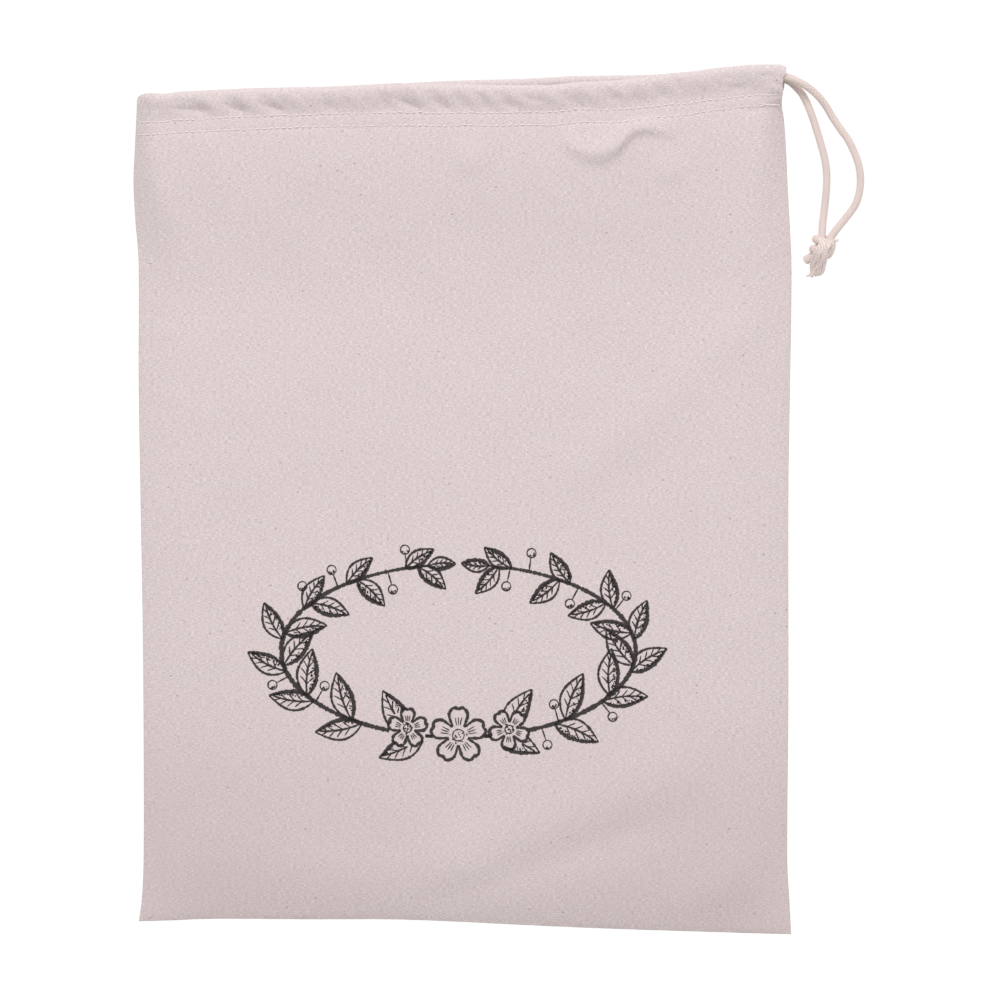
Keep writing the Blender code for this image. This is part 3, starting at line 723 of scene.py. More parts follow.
def lifted(outer, across, down, lift):
    """Points off a cloth along its normal."""
    step = 0.4
    here = outer(across, down)
    side = outer(across + step / WIDTH, down) - here
    lower = outer(across, down + step) - here
    normal = np.cross(lower, side)
    normal /= np.linalg.norm(normal, axis=-1, keepdims=True)
    return here + normal * np.asarray(lift)[..., None]


class Batch:
    """Gathers grids of points, in millimetres, into one mesh with these UV layers."""

    def __init__(self, *layers):
        self.layers = {layer: [] for layer in layers}
        self.points = []
        self.faces = []
        self.count = 0

    def grid(self, points, *flats, wrap=False, caps=False):
        """Adds a grid of quads with a UV map for each layer; wrap joins its last column to its first."""
        rows, columns = points.shape[:2]
        numbers = np.arange(rows * columns).reshape(rows, columns) + self.count
        if wrap:
            numbers = np.concatenate([numbers, numbers[:, :1]], axis=1)
        self.faces += corners(numbers).tolist()
        if caps:
            self.faces += [numbers[0, :columns][::-1].tolist(), numbers[-1, :columns].tolist()]
        for kept, flat in zip(self.layers.values(), flats):
            places = np.arange(rows * flat.shape[1]).reshape(rows, flat.shape[1])
            kept.append(flat.reshape(-1, 2)[corners(places).reshape(-1)])
            if caps:
                kept += [flat[0, :columns][::-1], flat[-1, :columns]]
        self.points.append(points.reshape(-1, 3))
        self.count += rows * columns

    def build(self, name, finish):
        """Makes the object."""
        mesh = bpy.data.meshes.new(name)
        mesh.from_pydata((np.concatenate(self.points) * MM).tolist(), [], self.faces)
        for layer, flats in self.layers.items():
            made_layer = mesh.uv_layers.new(name=layer)
            made_layer.data.foreach_set("uv", np.concatenate(flats).astype("f").ravel())
        mesh.shade_smooth()
        mesh.materials.append(finish)
        made = bpy.data.objects.new(name, mesh)
        bpy.context.scene.collection.objects.link(made)
        return made


def corners(numbers):
    """The four corners of each quad of a grid of numbers."""
    quads = [numbers[:-1, :-1], numbers[:-1, 1:], numbers[1:, 1:], numbers[1:, :-1]]
    return np.stack(quads, axis=-1).reshape(-1, 4)


def travelled(route):
    """Distance along a route at each of its points."""
    return np.concatenate([[0.0], np.cumsum(np.linalg.norm(np.diff(route, axis=0), axis=1))])


def even_route(points, spacing):
    """Points an even spacing apart on a smooth curve through the route's own points."""
    points = np.array(points, float)
    ends = np.concatenate([[2 * points[0] - points[1]], points, [2 * points[-1] - points[-2]]])
    before, start, end, after = ends[:-3], ends[1:-2], ends[2:-1], ends[3:]
    part = np.linspace(0.0, 1.0, 16, endpoint=False)[None, :, None]
    before, start, end, after = (row[:, None, :] for row in (before, start, end, after))
    dense = (
        2 * start
        + (end - before) * part
        + (2 * before - 5 * start + 4 * end - after) * part**2
        + (3 * start - before - 3 * end + after) * part**3
    ) / 2
    dense = np.concatenate([dense.reshape(-1, 3), points[-1:]])
    reached = travelled(dense)
    count = max(round(reached[-1] / spacing), 2)
    wanted = np.linspace(0.0, reached[-1], count + 1)
    return np.stack([np.interp(wanted, reached, dense[:, axis]) for axis in range(3)], axis=-1)


def ring_axes(route):
    """Two directions across a route at each point, turning as little as they can."""
    tangents = np.gradient(route, axis=0)
    tangents /= np.linalg.norm(tangents, axis=1, keepdims=True)
    seed = np.array([0.0, 0.0, 1.0]) if abs(tangents[0, 2]) < 0.9 else np.array([1.0, 0.0, 0.0])
    sides = []
    for tangent in tangents:
        seed = seed - tangent * seed.dot(tangent)
        seed = seed / np.linalg.norm(seed)
        sides.append(seed)
    sides = np.array(sides)
    return sides, np.cross(tangents, sides)


def braid_height(turned, along):
    """Relief of the braid, 0 between its strands to 1 on top of them."""
    one = np.sin(STRANDS / 2 * (turned + 2.0 * math.pi * along / BRAID_TURN))
    other = np.sin(STRANDS / 2 * (turned - 2.0 * math.pi * along / BRAID_TURN))
    crossing = 0.8 * one * other
    return np.maximum(abs(one) + crossing, abs(other) - crossing) / 1.8


def tube(batch, route, radii, sides, relief=0.0, start=0.0):
    """Adds a round tube along a route, with its braid's relief."""
    radii = np.broadcast_to(np.asarray(radii, float), (len(route),))
    side, other = ring_axes(route)
    turned = np.linspace(0.0, 2.0 * math.pi, sides + 1)[None, :]
    along = (start + travelled(route))[:, None]
    reach = radii[:, None] + relief * (braid_height(turned, along) - 0.6)
    points = (
        route[:, None, :]
        + side[:, None, :] * (np.cos(turned) * reach)[..., None]
        + other[:, None, :] * (np.sin(turned) * reach)[..., None]
    )
    flat = np.stack(np.broadcast_arrays(turned / (2.0 * math.pi), along * MM), axis=-1)
    batch.grid(points[:, :-1], flat, wrap=True, caps=True)


def maths(operation, reflected=False):
    """A method of Wire that adds one Math node."""

    def method(self, *others):
        values = (*others, self) if reflected else (self, *others)
        return self.finish.add("ShaderNodeMath", {"operation": operation}, dict(enumerate(values)))

    return method


class Wire:
    """One socket of a finish, on which sums add Math nodes."""

    def __init__(self, finish, socket):
        self.finish = finish
        self.socket = socket

    __add__ = maths("ADD")
    __radd__ = maths("ADD", reflected=True)
    __sub__ = maths("SUBTRACT")
    __rsub__ = maths("SUBTRACT", reflected=True)
    __mul__ = maths("MULTIPLY")
    __rmul__ = maths("MULTIPLY", reflected=True)
    __truediv__ = maths("DIVIDE")
    __pow__ = maths("POWER")
    __abs__ = maths("ABSOLUTE")
    __gt__ = maths("GREATER_THAN")
    wave = maths("SINE")
    larger = maths("MAXIMUM")
    smaller = maths("MINIMUM")
    wrapped = maths("PINGPONG")


class Finish:
    """A material under construction."""

    def __init__(self, name, roughness):
        self.material = bpy.data.materials.new(name)
        self.material.use_nodes = True
        self.tree = self.material.node_tree
        self.shader = self.tree.nodes["Principled BSDF"]
        self.shader.inputs["Roughness"].default_value = roughness
        self.shader.inputs["Metallic"].default_value = 0.0

    def add(self, kind, settings=None, values=None, out=0):
        """Adds a node: its settings come first, then the values or wires of its sockets."""
        node = self.tree.nodes.new(kind)
        for name, value in (settings or {}).items():
            setattr(node, name, value)
        for name, value in (values or {}).items():
            self.join(value, node.inputs[name])
        return Wire(self, node.outputs[out])

    def join(self, value, socket):
        """Sets a socket to a value or links a wire to it."""
        if isinstance(value, Wire):
            self.tree.links.new(value.socket, socket)
        else:
            socket.default_value = value

    def set(self, name, value):
        """Sets or links one socket of the shader."""
        self.join(value, self.shader.inputs[name])

    def split(self, place, unit=MM):
        """The first two coordinates of a place: one in this unit, one in millimetres."""
        first = self.add("ShaderNodeSeparateXYZ", None, {0: place})
        return first * (1.0 / unit), Wire(self, first.socket.node.outputs[1]) * (1.0 / MM)

    def layer(self, name, unit=MM):
        """The two coordinates of a UV layer. A tube's first one is in turns, a stroke's in widths."""
        return self.split(self.add("ShaderNodeUVMap", {"uv_map": name}), unit)

    def pattern(self, kind, settings, x, y, depth, **values):
        """A texture node over two coordinates that are already in its own scale."""
        place = self.add("ShaderNodeCombineXYZ", None, {0: x, 1: y, 2: depth})
        return self.add(kind, settings, {"Vector": place, "Scale": 1.0, **values})

    def noise(self, x, y, depth, detail=2.0):
        """Soft noise."""
        return self.pattern("ShaderNodeTexNoise", None, x, y, depth, Detail=detail)

    def spots(self, x, y, depth, share):
        """1 at the middle of a few scattered cells, falling to 0 outwards."""
        distance = self.pattern("ShaderNodeTexVoronoi", {"voronoi_dimensions": "2D"}, x, y, depth)
        cell = Wire(self, distance.socket.node.outputs["Color"])
        chance = self.add("ShaderNodeSeparateColor", None, {0: cell})
        return (1.0 - distance * 4.0).larger(0.0) * (chance > 1.0 - share)

    def mix(self, factor, first, second):
        """A colour between two colours."""
        return self.add("ShaderNodeMix", {"data_type": "RGBA"}, {0: factor, 6: first, 7: second}, out=2)

    def scaled(self, colour, factor):
        """A colour made lighter or darker."""
        return self.add("ShaderNodeVectorMath", {"operation": "SCALE"}, {0: colour, 3: factor})

    def bump(self, height, reach, strength):
        """A surface normal from a height between 0 and 1 that stands for reach millimetres."""
        values = {"Height": height, "Distance": reach * MM, "Strength": strength}
        self.set("Normal", self.add("ShaderNodeBump", None, values))


def over_and_under(one, other):
    """Height of threads that cross over and under one another, from the waves of both, 0 to 1."""
    crossing = one * other * 0.8
    return (abs(one) + crossing).larger(abs(other) - crossing) / 1.8


def plain_weave(across, along):
    """Height of the cloth's threads."""
    pace = math.pi / THREAD_PITCH
    return over_and_under((across * pace).wave(), (along * pace).wave())


def yarn_twist(around, along, pace):
    """The two plies of a yarn: 0 between them to 1 on top."""
    return (around * (4.0 * math.pi) + along * pace).wave() * 0.5 + 0.5


def woven_cloth():
    """Undyed cotton and flax: a plain weave with uneven threads, slubs, dark flecks and painted shade."""
    finish = Finish("Woven cloth", 0.92)
    across, along = finish.layer("Weave")
    drift = finish.noise(across / 9.0, along / 9.0, 3.0)
    wander = finish.noise(across / 9.0, along / 9.0, 7.0)
    crooked_across = across + (drift - 0.5) * 1.6
    crooked_along = along + (wander - 0.5) * 1.6
    weave = plain_weave(crooked_across, crooked_along)
    upright = finish.noise(crooked_across / 0.30, crooked_along / 2.2, 1.0, 1.0)
    level = finish.noise(crooked_across / 1.7, crooked_along / 0.26, 2.0, 1.0)
    grain = finish.noise(across / 0.32, along / 0.26, 4.0, 1.0)
    patches = finish.noise(across / 7.0, along / 7.0, 5.0, 3.0)
    broad = finish.noise(across / 60.0, along / 60.0, 6.0)
    slub_across = finish.spots(across / 22.0, along / 1.6, 8.0, 0.05)
    slub_along = finish.spots(across / 1.6, along / 22.0, 9.0, 0.05)
    specks = finish.spots(across / 2.6, along / 1.9, 10.0, 0.004)
    pink_specks = finish.spots(across / 3.2, along / 2.2, 11.0, 0.02)

    # Painted shade between the woven threads: the tone is lower where the weave's height is low.
    tone = 0.83 + weave * 0.14
    tone = tone + (upright - 0.5) * 0.36 + (level - 0.5) * 0.76
    tone = tone + (grain - 0.5) * 0.76 + (broad - 0.5) * 0.03
    tone = tone + slub_across * 0.05 - slub_along * 0.05
    hue = finish.mix((patches - 0.5) * 1.3 + 0.5, CLOTH_PINK, CLOTH_BEIGE)
    colour = finish.scaled(hue, tone)
    # Painted shade: the cloth is darkened towards its lower edge, most at the lower corners, where the
    # light falls off.
    low = ((PAINTED_SHADE_FROM - along) / PAINTED_SHADE_OVER).larger(0.0).smaller(1.0)
    aside = (abs(across - WIDTH / 2) / PAINTED_SHADE_HALF_WIDTH).smaller(1.0)
    painted_shade = low * low * (3.0 - low * 2.0) * (aside * 0.7 + 0.3)
    colour = finish.mix(painted_shade * 0.2, colour, CLOTH_PAINTED_SHADE)
    colour = finish.mix((specks * 1.2).smaller(0.5), colour, CLOTH_FLECK)
    colour = finish.mix((pink_specks * 0.8).smaller(0.3), colour, CLOTH_PINK_FLECK)

    count, below = finish.layer("Stitches")
    nearest = abs(below).smaller(abs(below - ROW_GAP))
    from_hole = (count / STITCH_PITCH).wrapped(0.5) * STITCH_PITCH
    hole = (1.0 - from_hole * 2.0).larger(0.0) * (1.0 - nearest * 1.8).larger(0.0)
    # Painted shade in the needle holes between the stitches, where the thread goes through the cloth.
    colour = finish.mix((hole * 1.2).smaller(0.45), colour, PINHOLE_SHADE)
    finish.set("Base Color", colour)
    height = weave * 0.6 + (upright + level) * 0.25 + grain * 0.3 - hole
    finish.bump(height, 0.12, 0.55)
    return finish.material


def braided_cotton():
    """Cream cotton cord with painted shade between its strands, and fine fibres along them."""
    finish = Finish("Braided cotton", 0.88)
    around, along = finish.layer("Braid", 1.0)
    turned = around * (STRANDS * math.pi)
    climb = along * (STRANDS * math.pi / BRAID_TURN)
    relief = over_and_under((turned + climb).wave(), (turned - climb).wave())
    width = around * (math.pi * CORD)
    leaning = finish.noise((width + along) / 0.25, (width - along) / 1.6, 1.0)
    counter = finish.noise((width + along) / 1.6, (width - along) / 0.25, 2.0)
    fibres = leaning * 0.5 + counter * 0.5
    soiling = finish.noise(width / 6.0, along / 6.0, 3.0)
    # Painted shade between the braid's strands: colour and tone fall where the relief is low.
    tone = 0.60 + relief * 0.56 + (fibres - 0.5) * 0.3 + (soiling - 0.5) * 0.16
    finish.set("Base Color", finish.scaled(finish.mix(relief, CORD_SHADE, CORD_CREAM), tone))
    finish.bump(relief * 0.5 + fibres, 0.1, 0.5)
    return finish.material


def frayed_cotton():
    """The cord's yarns come loose, each with its own twist."""
    finish = Finish("Frayed cotton", 0.9)
    around, along = finish.layer("Braid", 1.0)
    twist = yarn_twist(around, along, 5.0)
    fluff = finish.noise(around * 6.0, along / 0.8, 1.0)
    # Painted shade between the plies of each loose yarn, from YARN_SHADE between them to YARN_LIGHT on
    # top.
    colour = finish.mix(twist, YARN_SHADE, YARN_LIGHT)
    finish.set("Base Color", finish.scaled(colour, fluff * 0.3 + 0.85))
    finish.bump(twist + fluff * 0.5, 0.06, 0.5)
    return finish.material


def sewing_thread():
    """Pale polyester thread with a soft shine and a fine twist."""
    finish = Finish("Sewing thread", 0.6)
    around, along = finish.layer("Twist", 1.0)
    twist = yarn_twist(around, along, 9.0)
    # Painted shade between the plies of the thread, from THREAD_SHADE between them to THREAD_LIGHT on top.
    finish.set("Base Color", finish.mix(twist, THREAD_SHADE, THREAD_LIGHT))
    finish.bump(twist, 0.05, 0.4)
    return finish.material


def printed_ink():
    """Matt black ink that the weave shows through, drier at the edges of a stroke."""
    finish = Finish("Printed ink", 0.82)
    across, _ = finish.layer("Stroke", 1.0)
    edge = abs(across - 0.5) * 2.0
    x, y = finish.split(finish.add("ShaderNodeTexCoord", out="Object"))
    weave = plain_weave(x, y)
    dryness = finish.noise(x / 0.8, y / 0.8, 1.0, 3.0)
    cover = 1.35 - edge**3.0 * 0.7 - (dryness - 0.35) * 1.5 + (weave - 0.5) * 0.5
    finish.set("Alpha", cover.larger(0.0).smaller(0.94))
    finish.set("Base Color", finish.mix(dryness, INK_BLACK, INK_BROWN))
    finish.bump(weave, 0.08, 0.4)
    return finish.material


def spaced(start, end, pitch):
    """Even steps between two insets, without the last."""
    count = max(round(abs(end - start) / pitch), 1)
    return np.linspace(start, end, count, endpoint=False).tolist()


def panel_columns(pitch):
    """Shares of the width, closer together beside the seams."""
    middle = spaced(EDGE_COLUMNS[-1], WIDTH - EDGE_COLUMNS[-1], pitch)[1:]
    return np.array([*EDGE_COLUMNS, *middle, *(WIDTH - inset for inset in reversed(EDGE_COLUMNS))]) / WIDTH


def cloth_piece(name, outer, hem, mesh, finish):
    """One cloth with its hem, thickened about its middle, with finer rows where it is stitched."""
    column_pitch, body, mouth = mesh
    shares = panel_columns(column_pitch)
    cloth_rows = [LENGTH - inset for inset in EDGE_ROWS] + spaced(*body) + spaced(*mouth) + [FOLD_REACH]
    hem_rows = spaced(FOLD_REACH, HEM_DEPTH, HEM_ROW_STEP) + [HEM_DEPTH]
    points, lengths, below = folded_cloth(outer, hem, shares, cloth_rows, hem_rows)
    across, along = np.meshgrid(shares * WIDTH, lengths)
    rows_off = below_first_row(across / WIDTH, below[:, None])
    weave = np.stack([across, along], axis=-1) * MM
    batch = Batch("Weave", "Stitches")
    batch.grid(points, weave, np.stack([across, rows_off], axis=-1) * MM)
    made = batch.build(name, finish)
    thick = made.modifiers.new("Cloth thickness", "SOLIDIFY")
    thick.thickness = CLOTH * MM
    thick.offset = 0.0
    thick.use_even_offset = True
    thick.use_quality_normals = True
    return made


def stitch_rows(name, outer, side, finish, ends=()):
    """Two rows of stitches through a casing, each a short arch of thread, and loose thread ends."""
    draw = np.random.default_rng(SEED + 20)
    starts = np.arange(ROWS_FROM, WIDTH - ROWS_TO_EDGE, STITCH_PITCH)
    starts = np.concatenate([starts, starts])
    rows = np.repeat([0.0, 1.0], len(starts) // 2)
    lengths = STITCH_LENGTH * draw.uniform(0.9, 1.08, len(starts))
    leans = draw.uniform(-STITCH_LEAN, STITCH_LEAN, len(starts))
    drops = ROW_WANDER * unevenness(starts, 0.0, 23.0, 7)
    drops = drops + draw.normal(0.0, STITCH_WANDER, len(starts))
    share = np.linspace(0.0, 1.0, STITCH_RINGS)[None, :]
    across = (starts[:, None] + STITCH_START + lengths[:, None] * share) / WIDTH
    down = read_table(FIRST_ROW, across) + rows[:, None] * read_table(SECOND_ROW, across)
    down = down + drops[:, None] + leans[:, None] * (share - 0.5)
    arch = STITCH_ARCH * np.sin(math.pi * share) ** 0.5 - STITCH_SUNK
    arch = arch * (1.0 if side > 0 else BACK_ARCH_SHARE)
    radii = STITCH_RADIUS * (0.65 + 0.35 * np.sin(math.pi * share[0]))
    batch = Batch("Twist")
    for route in lifted(outer, across, down, side * (CLOTH / 2 + arch)):
        tube(batch, route, radii, 8)
    for spots, radius in ends:
        x, y = even_route([(*spot, 0.0) for spot in spots], THREAD_SPACING)[:, :2].T
        tube(batch, on_front(x, y, CLOTH / 2 + THREAD_CLEAR), radius, 8)
    return batch.build(name, finish)


def knot_places(spots):
    """Places given in the knot's own directions: across, along and height."""
    across, along, height = np.array(spots, float).T
    x = KNOT_X + KNOT_ALONG[1] * across + KNOT_ALONG[0] * along
    y = KNOT_Y - KNOT_ALONG[0] * across + KNOT_ALONG[1] * along
    return np.stack([x, y, height], axis=-1)


def strand_route(way_in, core, half_width, wrap_start, wrap_end, tail):
    """One strand: into the knot, once round the outside, through the core and out."""
    spots = list(way_in)
    for share in np.linspace(0.0, 1.0, WRAP_STEPS + 1):
        angle = math.radians(-90.0 + 360.0 * share)
        along = wrap_start + (wrap_end - wrap_start) * share
        height = KNOT_CORE_Z + WRAP_HALF_HEIGHT * math.sin(angle)
        spots.append((half_width * math.cos(angle), along, height))
    spots += [(core, CORE_TOP, SECOND_CORE_Z), (core, CORE_FOOT, SECOND_CORE_Z)]
    return knot_places(spots + list(tail))


def cord_piece(name, route, finish):
    """A free end of the cord, run on a little into the knot, and its ring centres in metres."""
    end = np.array(route[-1])
    inside = [end + CORD_RUN_ON * (end - route[-2]) / np.linalg.norm(end - route[-2])]
    centres = even_route(np.concatenate([route, inside]), RING_SPACING)
    batch = Batch("Braid")
    tube(batch, centres, CORD / 2 - BRAID_INSET, CORD_SIDES, BRAID_RELIEF)
    return batch.build(name, finish), centres * MM


def held_cord(finish):
    """The drawcord through the front casing, round the left edge and back through the back one."""
    across = np.linspace(HELD_TO, TURN_INSET / WIDTH, HELD_STOPS)
    down = cord_down(across)
    front = np.column_stack([front_xy(across, down), hem_z(across) + CASING / 2])
    back = np.column_stack([cloth_xy(across, down), np.full(HELD_STOPS, BACK_Z + CASING / 2)])
    angle = math.pi * np.arange(1, TURN_STEPS) / TURN_STEPS
    turn_x = back[-1, 0] - CORD_TURN_RADIUS * np.sin(angle)
    turn_z = TURN_Z + CORD_TURN_RADIUS * np.cos(angle)
    turn = np.column_stack([turn_x, np.full(len(angle), back[-1, 1]), turn_z])
    route = even_route(np.concatenate([front, turn, back[::-1]]), HELD_SPACING)
    batch = Batch("Braid")
    tube(batch, route, HELD_RADIUS, HELD_SIDES)
    return batch.build("held_cord", finish)


def knot_piece(finish):
    """Both cord ends tied in one overhand knot, with two tails."""
    batch = Batch("Braid")
    for strand in KNOT_STRANDS:
        route = even_route(strand_route(*strand), RING_SPACING)
        route[:, 2] = np.maximum(route[:, 2], KNOT_CORD / 2 + KNOT_CLEAR)
        steps = np.arange(len(route))
        from_end = np.minimum(steps, steps[::-1]) * RING_SPACING
        radii = KNOT_CORD / 2 * np.sqrt(np.clip(0.35 + from_end / TAIL_ROUNDING, 0.0, 1.0))
        tube(batch, route, radii, CORD_SIDES, BRAID_RELIEF, 3.0)
    return batch.build("knot", finish)


def frayed_yarns(finish):
    """Loose yarns over the knot and down from it, and a few fine fibres."""
    draw = np.random.default_rng(SEED + 30)
    batch = Batch("Braid")
    for number in range(FRAY_LOCKS * YARNS_IN_LOCK):
        lock, place_in_lock = divmod(number, YARNS_IN_LOCK)
        if place_in_lock == 0:
            shakes = [draw.normal(0.0, wander, 3) * (1.0, 0.8, 0.8) for _, _, wander in FRAY_PATH]
        spread = (lock + 0.5) / FRAY_LOCKS
        points = []
        for place, (left, right, _) in enumerate(FRAY_PATH):
            at = np.array(left) + (np.array(right) - np.array(left)) * spread
            crown = FRAY_CROWN[place] * (1.0 - (2.0 * spread - 1.0) ** 2)
            points.append(at + shakes[place] + (0.0, 0.0, crown))
        axis = even_route(points, 0.4)
        along = travelled(axis)
        turned = 2.0 * math.pi * (along / LOCK_TWIST + place_in_lock / YARNS_IN_LOCK)
        spacing = YARN_OFF * (1.0 - 0.2 * along / along[-1])
        axis[:, 0] += spacing * np.cos(turned)
        axis[:, 2] += spacing * np.sin(turned)
        axis[:, 2] = np.maximum(axis[:, 2], FRAY_RADIUS + 0.1)
        route = knot_places(axis)
        share = along / along[-1]
        kept = share <= draw.uniform(0.93, 1.0)
        radii = FRAY_RADIUS * draw.uniform(0.85, 1.1) * (1.0 - 0.3 * share**4)
        tube(batch, route[kept], radii[kept], 8, 0.0, number * 3.0)
    for start, end in np.array(WISPS):
        for _ in range(3):
            middle = (start + end) / 2.0 + draw.normal(0.0, 0.3, 3)
            spots = (start, middle, end + draw.normal(0.0, 0.25, 3))
            tube(batch, even_route(knot_places(spots), 0.4), WISP_RADIUS, 6)
    for _ in range(FLYAWAYS):
        across = draw.uniform(-1.5, 3.5)
        along = draw.uniform(-11.0, 3.0)
        lean = draw.uniform(-2.6, 2.6)
        spots = [
            (across, along, 3.2),
            (across + lean * 0.6, along - 1.6, 3.6 + draw.uniform(-0.5, 1.0)),
            (across + lean * 1.3, along - 3.0 * draw.uniform(0.6, 1.2), 2.0),
        ]
        tube(batch, even_route(knot_places(spots), 0.5), FIBRE_RADIUS, 5)
    return batch.build("frayed_yarns", finish)


class Drawing:
    """Ink strokes in millimetres, laid on the front cloth."""

    def __init__(self):
        self.grids = []
        self.taken = []
        self.draw = np.random.default_rng(SEED + 40)

    def stroke(self, points, width, taper=0.5, rough=0.16):
        """A brush line through points, thin at its ends and uneven in width."""
        points = np.array(points, float)
        flat = even_route(np.column_stack([points, np.zeros(len(points))]), STROKE_STEP)[:, :2]
        share = np.linspace(0.0, 1.0, len(flat))
        swell = 1.0 - taper + taper * np.sin(math.pi * share) ** 0.6
        swell = swell * (1.0 + rough * self.draw.normal(0.0, 1.0, len(flat)))
        heading = np.gradient(flat, axis=0)
        heading /= np.linalg.norm(heading, axis=1, keepdims=True) + 1e-9
        aside = np.stack([-heading[:, 1], heading[:, 0]], axis=-1)
        offsets = np.array([-0.5, 0.0, 0.5])
        reach = width * swell[:, None, None] * offsets[None, :, None]
        spots = flat[:, None, :] + aside[:, None, :] * reach
        along = share * len(flat) * STROKE_STEP
        clear = np.array([self.is_free(x, y) for x, y in flat])
        cuts = np.flatnonzero(np.diff(clear.astype(int))) + 1
        for run in np.split(np.arange(len(flat)), cuts):
            if clear[run[0]] and len(run) > 1:
                self.lay(spots[run], np.broadcast_to(offsets + 0.5, (len(run), 3)), along[run])

    def is_free(self, x, y, margin=0.0):
        """Whether a place lies outside every motif that keeps its ground clear."""
        return all(math.hypot(x - at_x, y - at_y) > reach + margin for at_x, at_y, reach in self.taken)

    def lay(self, spots, across, along):
        """Keeps a grid of places for the cloth, with its UV map."""
        self.grids.append((spots, np.stack(np.broadcast_arrays(across, along[:, None] * MM), axis=-1)))

    def build(self, name, finish):
        """Lays every stroke on the front cloth and makes the object."""
        spots = np.concatenate([spots.reshape(-1, 2) for spots, _ in self.grids])
        points = on_front(spots[:, 0], spots[:, 1], PRINT_LIFT)
        batch = Batch("Stroke")
        start = 0
        for spots, flat in self.grids:
            count = spots.shape[0] * spots.shape[1]
            batch.grid(points[start : start + count].reshape(*spots.shape[:2], 3), flat)
            start += count
        return batch.build(name, finish)

    def dot(self, x, y, radius):
        """A round blot, as rings that close on its middle."""
        turned = np.linspace(0.0, 2.0 * math.pi, 10)
        wobble = radius * (1.0 + 0.15 * self.draw.normal(0.0, 1.0, 10))
        wobble[-1] = wobble[0]
        reach = np.array([0.02, 0.6, 1.0])[:, None] * wobble[None, :]
        spots = round_middle(x, y, reach, turned)
        across = np.broadcast_to(np.array([0.5, 0.7, 0.95])[:, None], reach.shape)
        self.lay(spots, across, np.zeros(3))

    def stipple(self, place, count, smallest=0.16, largest=0.52):
        """Scattered dots where place(u, v) puts them."""
        for _ in range(count):
            x, y = place(self.draw.uniform(), self.draw.uniform())
            if self.is_free(x, y):
                self.dot(x, y, self.draw.uniform(smallest, largest))


def round_middle(x, y, reach, angle):
    """Places at these distances and angles round a middle."""
    return np.stack([x + reach * np.cos(angle), y + reach * np.sin(angle)], axis=-1)


def turned_points(points, x, y, angle):
    """Points moved and turned into place."""
    along, aside = np.array(points, float).T
    return round_middle(x, y, along, angle) + round_middle(0.0, 0.0, aside, angle + math.pi / 2)


def leaf(drawing, x, y, angle, length, width):
    """A leaf: two bowed sides, a midrib, a few veins and stippled shade on one half."""
    share = np.linspace(0.0, 1.0, 9)
    bow = np.sin(math.pi * share**0.85) * width / 2
    rib = np.sin(math.pi * share) * length * 0.05
    for side, weight in ((1, 1.2), (-1, 1.95)):
        outline = np.column_stack([share * length, rib + side * bow])
        drawing.stroke(turned_points(outline, x, y, angle), weight)
    midrib = np.column_stack([share * length * 0.9, rib])
    drawing.stroke(turned_points(midrib, x, y, angle), 1.1)
    for start in (0.25, 0.42, 0.58, 0.74):
        for side in (1, -1):
            reach = np.interp(start + 0.12, share, bow) * 0.72
            base = np.interp(start, share, rib)
            vein = [
                (start * length, base),
                ((start + 0.1) * length, base + side * reach * 0.6),
                ((start + 0.15) * length, base + side * reach),
            ]
            drawing.stroke(turned_points(vein, x, y, angle), 0.65)

    def shade(u, v):
        """A place on the darker half."""
        at = 0.12 + 0.8 * u
        off = -np.interp(at, share, bow) * (1.0 - 0.55 * v * v)
        return turned_points([(at * length, np.interp(at, share, rib) + off * 0.9)], x, y, angle)[0]

    drawing.stipple(shade, round(length * 3.2))


def flower(drawing, x, y, radius, turn):
    """A five-petal flower with a dotted middle."""
    across = np.linspace(-1.0, 1.0, 9)
    reach = radius * (0.34 + 0.66 * np.cos(across * math.pi / 2) ** 0.55 - 0.10 * bell(across, 0.2))
    for petal in range(5):
        angle = turn + petal * 2.0 * math.pi / 5
        drawing.stroke(round_middle(x, y, reach, angle + across * 0.60), 1.6, 0.4)
        for off in (-0.18, 0.0, 0.18):
            drawing.stroke(round_middle(x, y, radius * np.array([0.34, 0.48, 0.62]), angle + off), 0.55)
    middle = radius * 0.2
    drawing.stroke(round_middle(x, y, middle, np.linspace(0.0, 2.0 * math.pi, 13)), 0.6, 0.1)
    drawing.stipple(lambda u, v: round_middle(x, y, middle * 1.5 * v, 6.3 * u), 24)


def berry(drawing, x, y, radius):
    """A berry: a thick ring, shaded on its lower side."""
    ring = np.linspace(0.4, 0.4 + 2.0 * math.pi, 12)
    drawing.stroke(round_middle(x, y, radius, ring), 0.7, 0.3)
    drawing.stipple(lambda u, v: round_middle(x, y, radius * (0.9 - 0.5 * v), -0.2 - 2.3 * u), 10)


def garland_point(side, share):
    """A place on one branch, from the bottom of the oval round to near its top, and its heading."""
    angle = math.radians(-96.0 + 176.0 * share)
    x = GARLAND_X + side * GARLAND_HALF_WIDTH * math.cos(angle)
    y = GARLAND_Y + GARLAND_HALF_HEIGHT * math.sin(angle)
    heading = math.atan2(
        GARLAND_HALF_HEIGHT * math.cos(angle), -side * GARLAND_HALF_WIDTH * math.sin(angle)
    )
    return x, y, heading


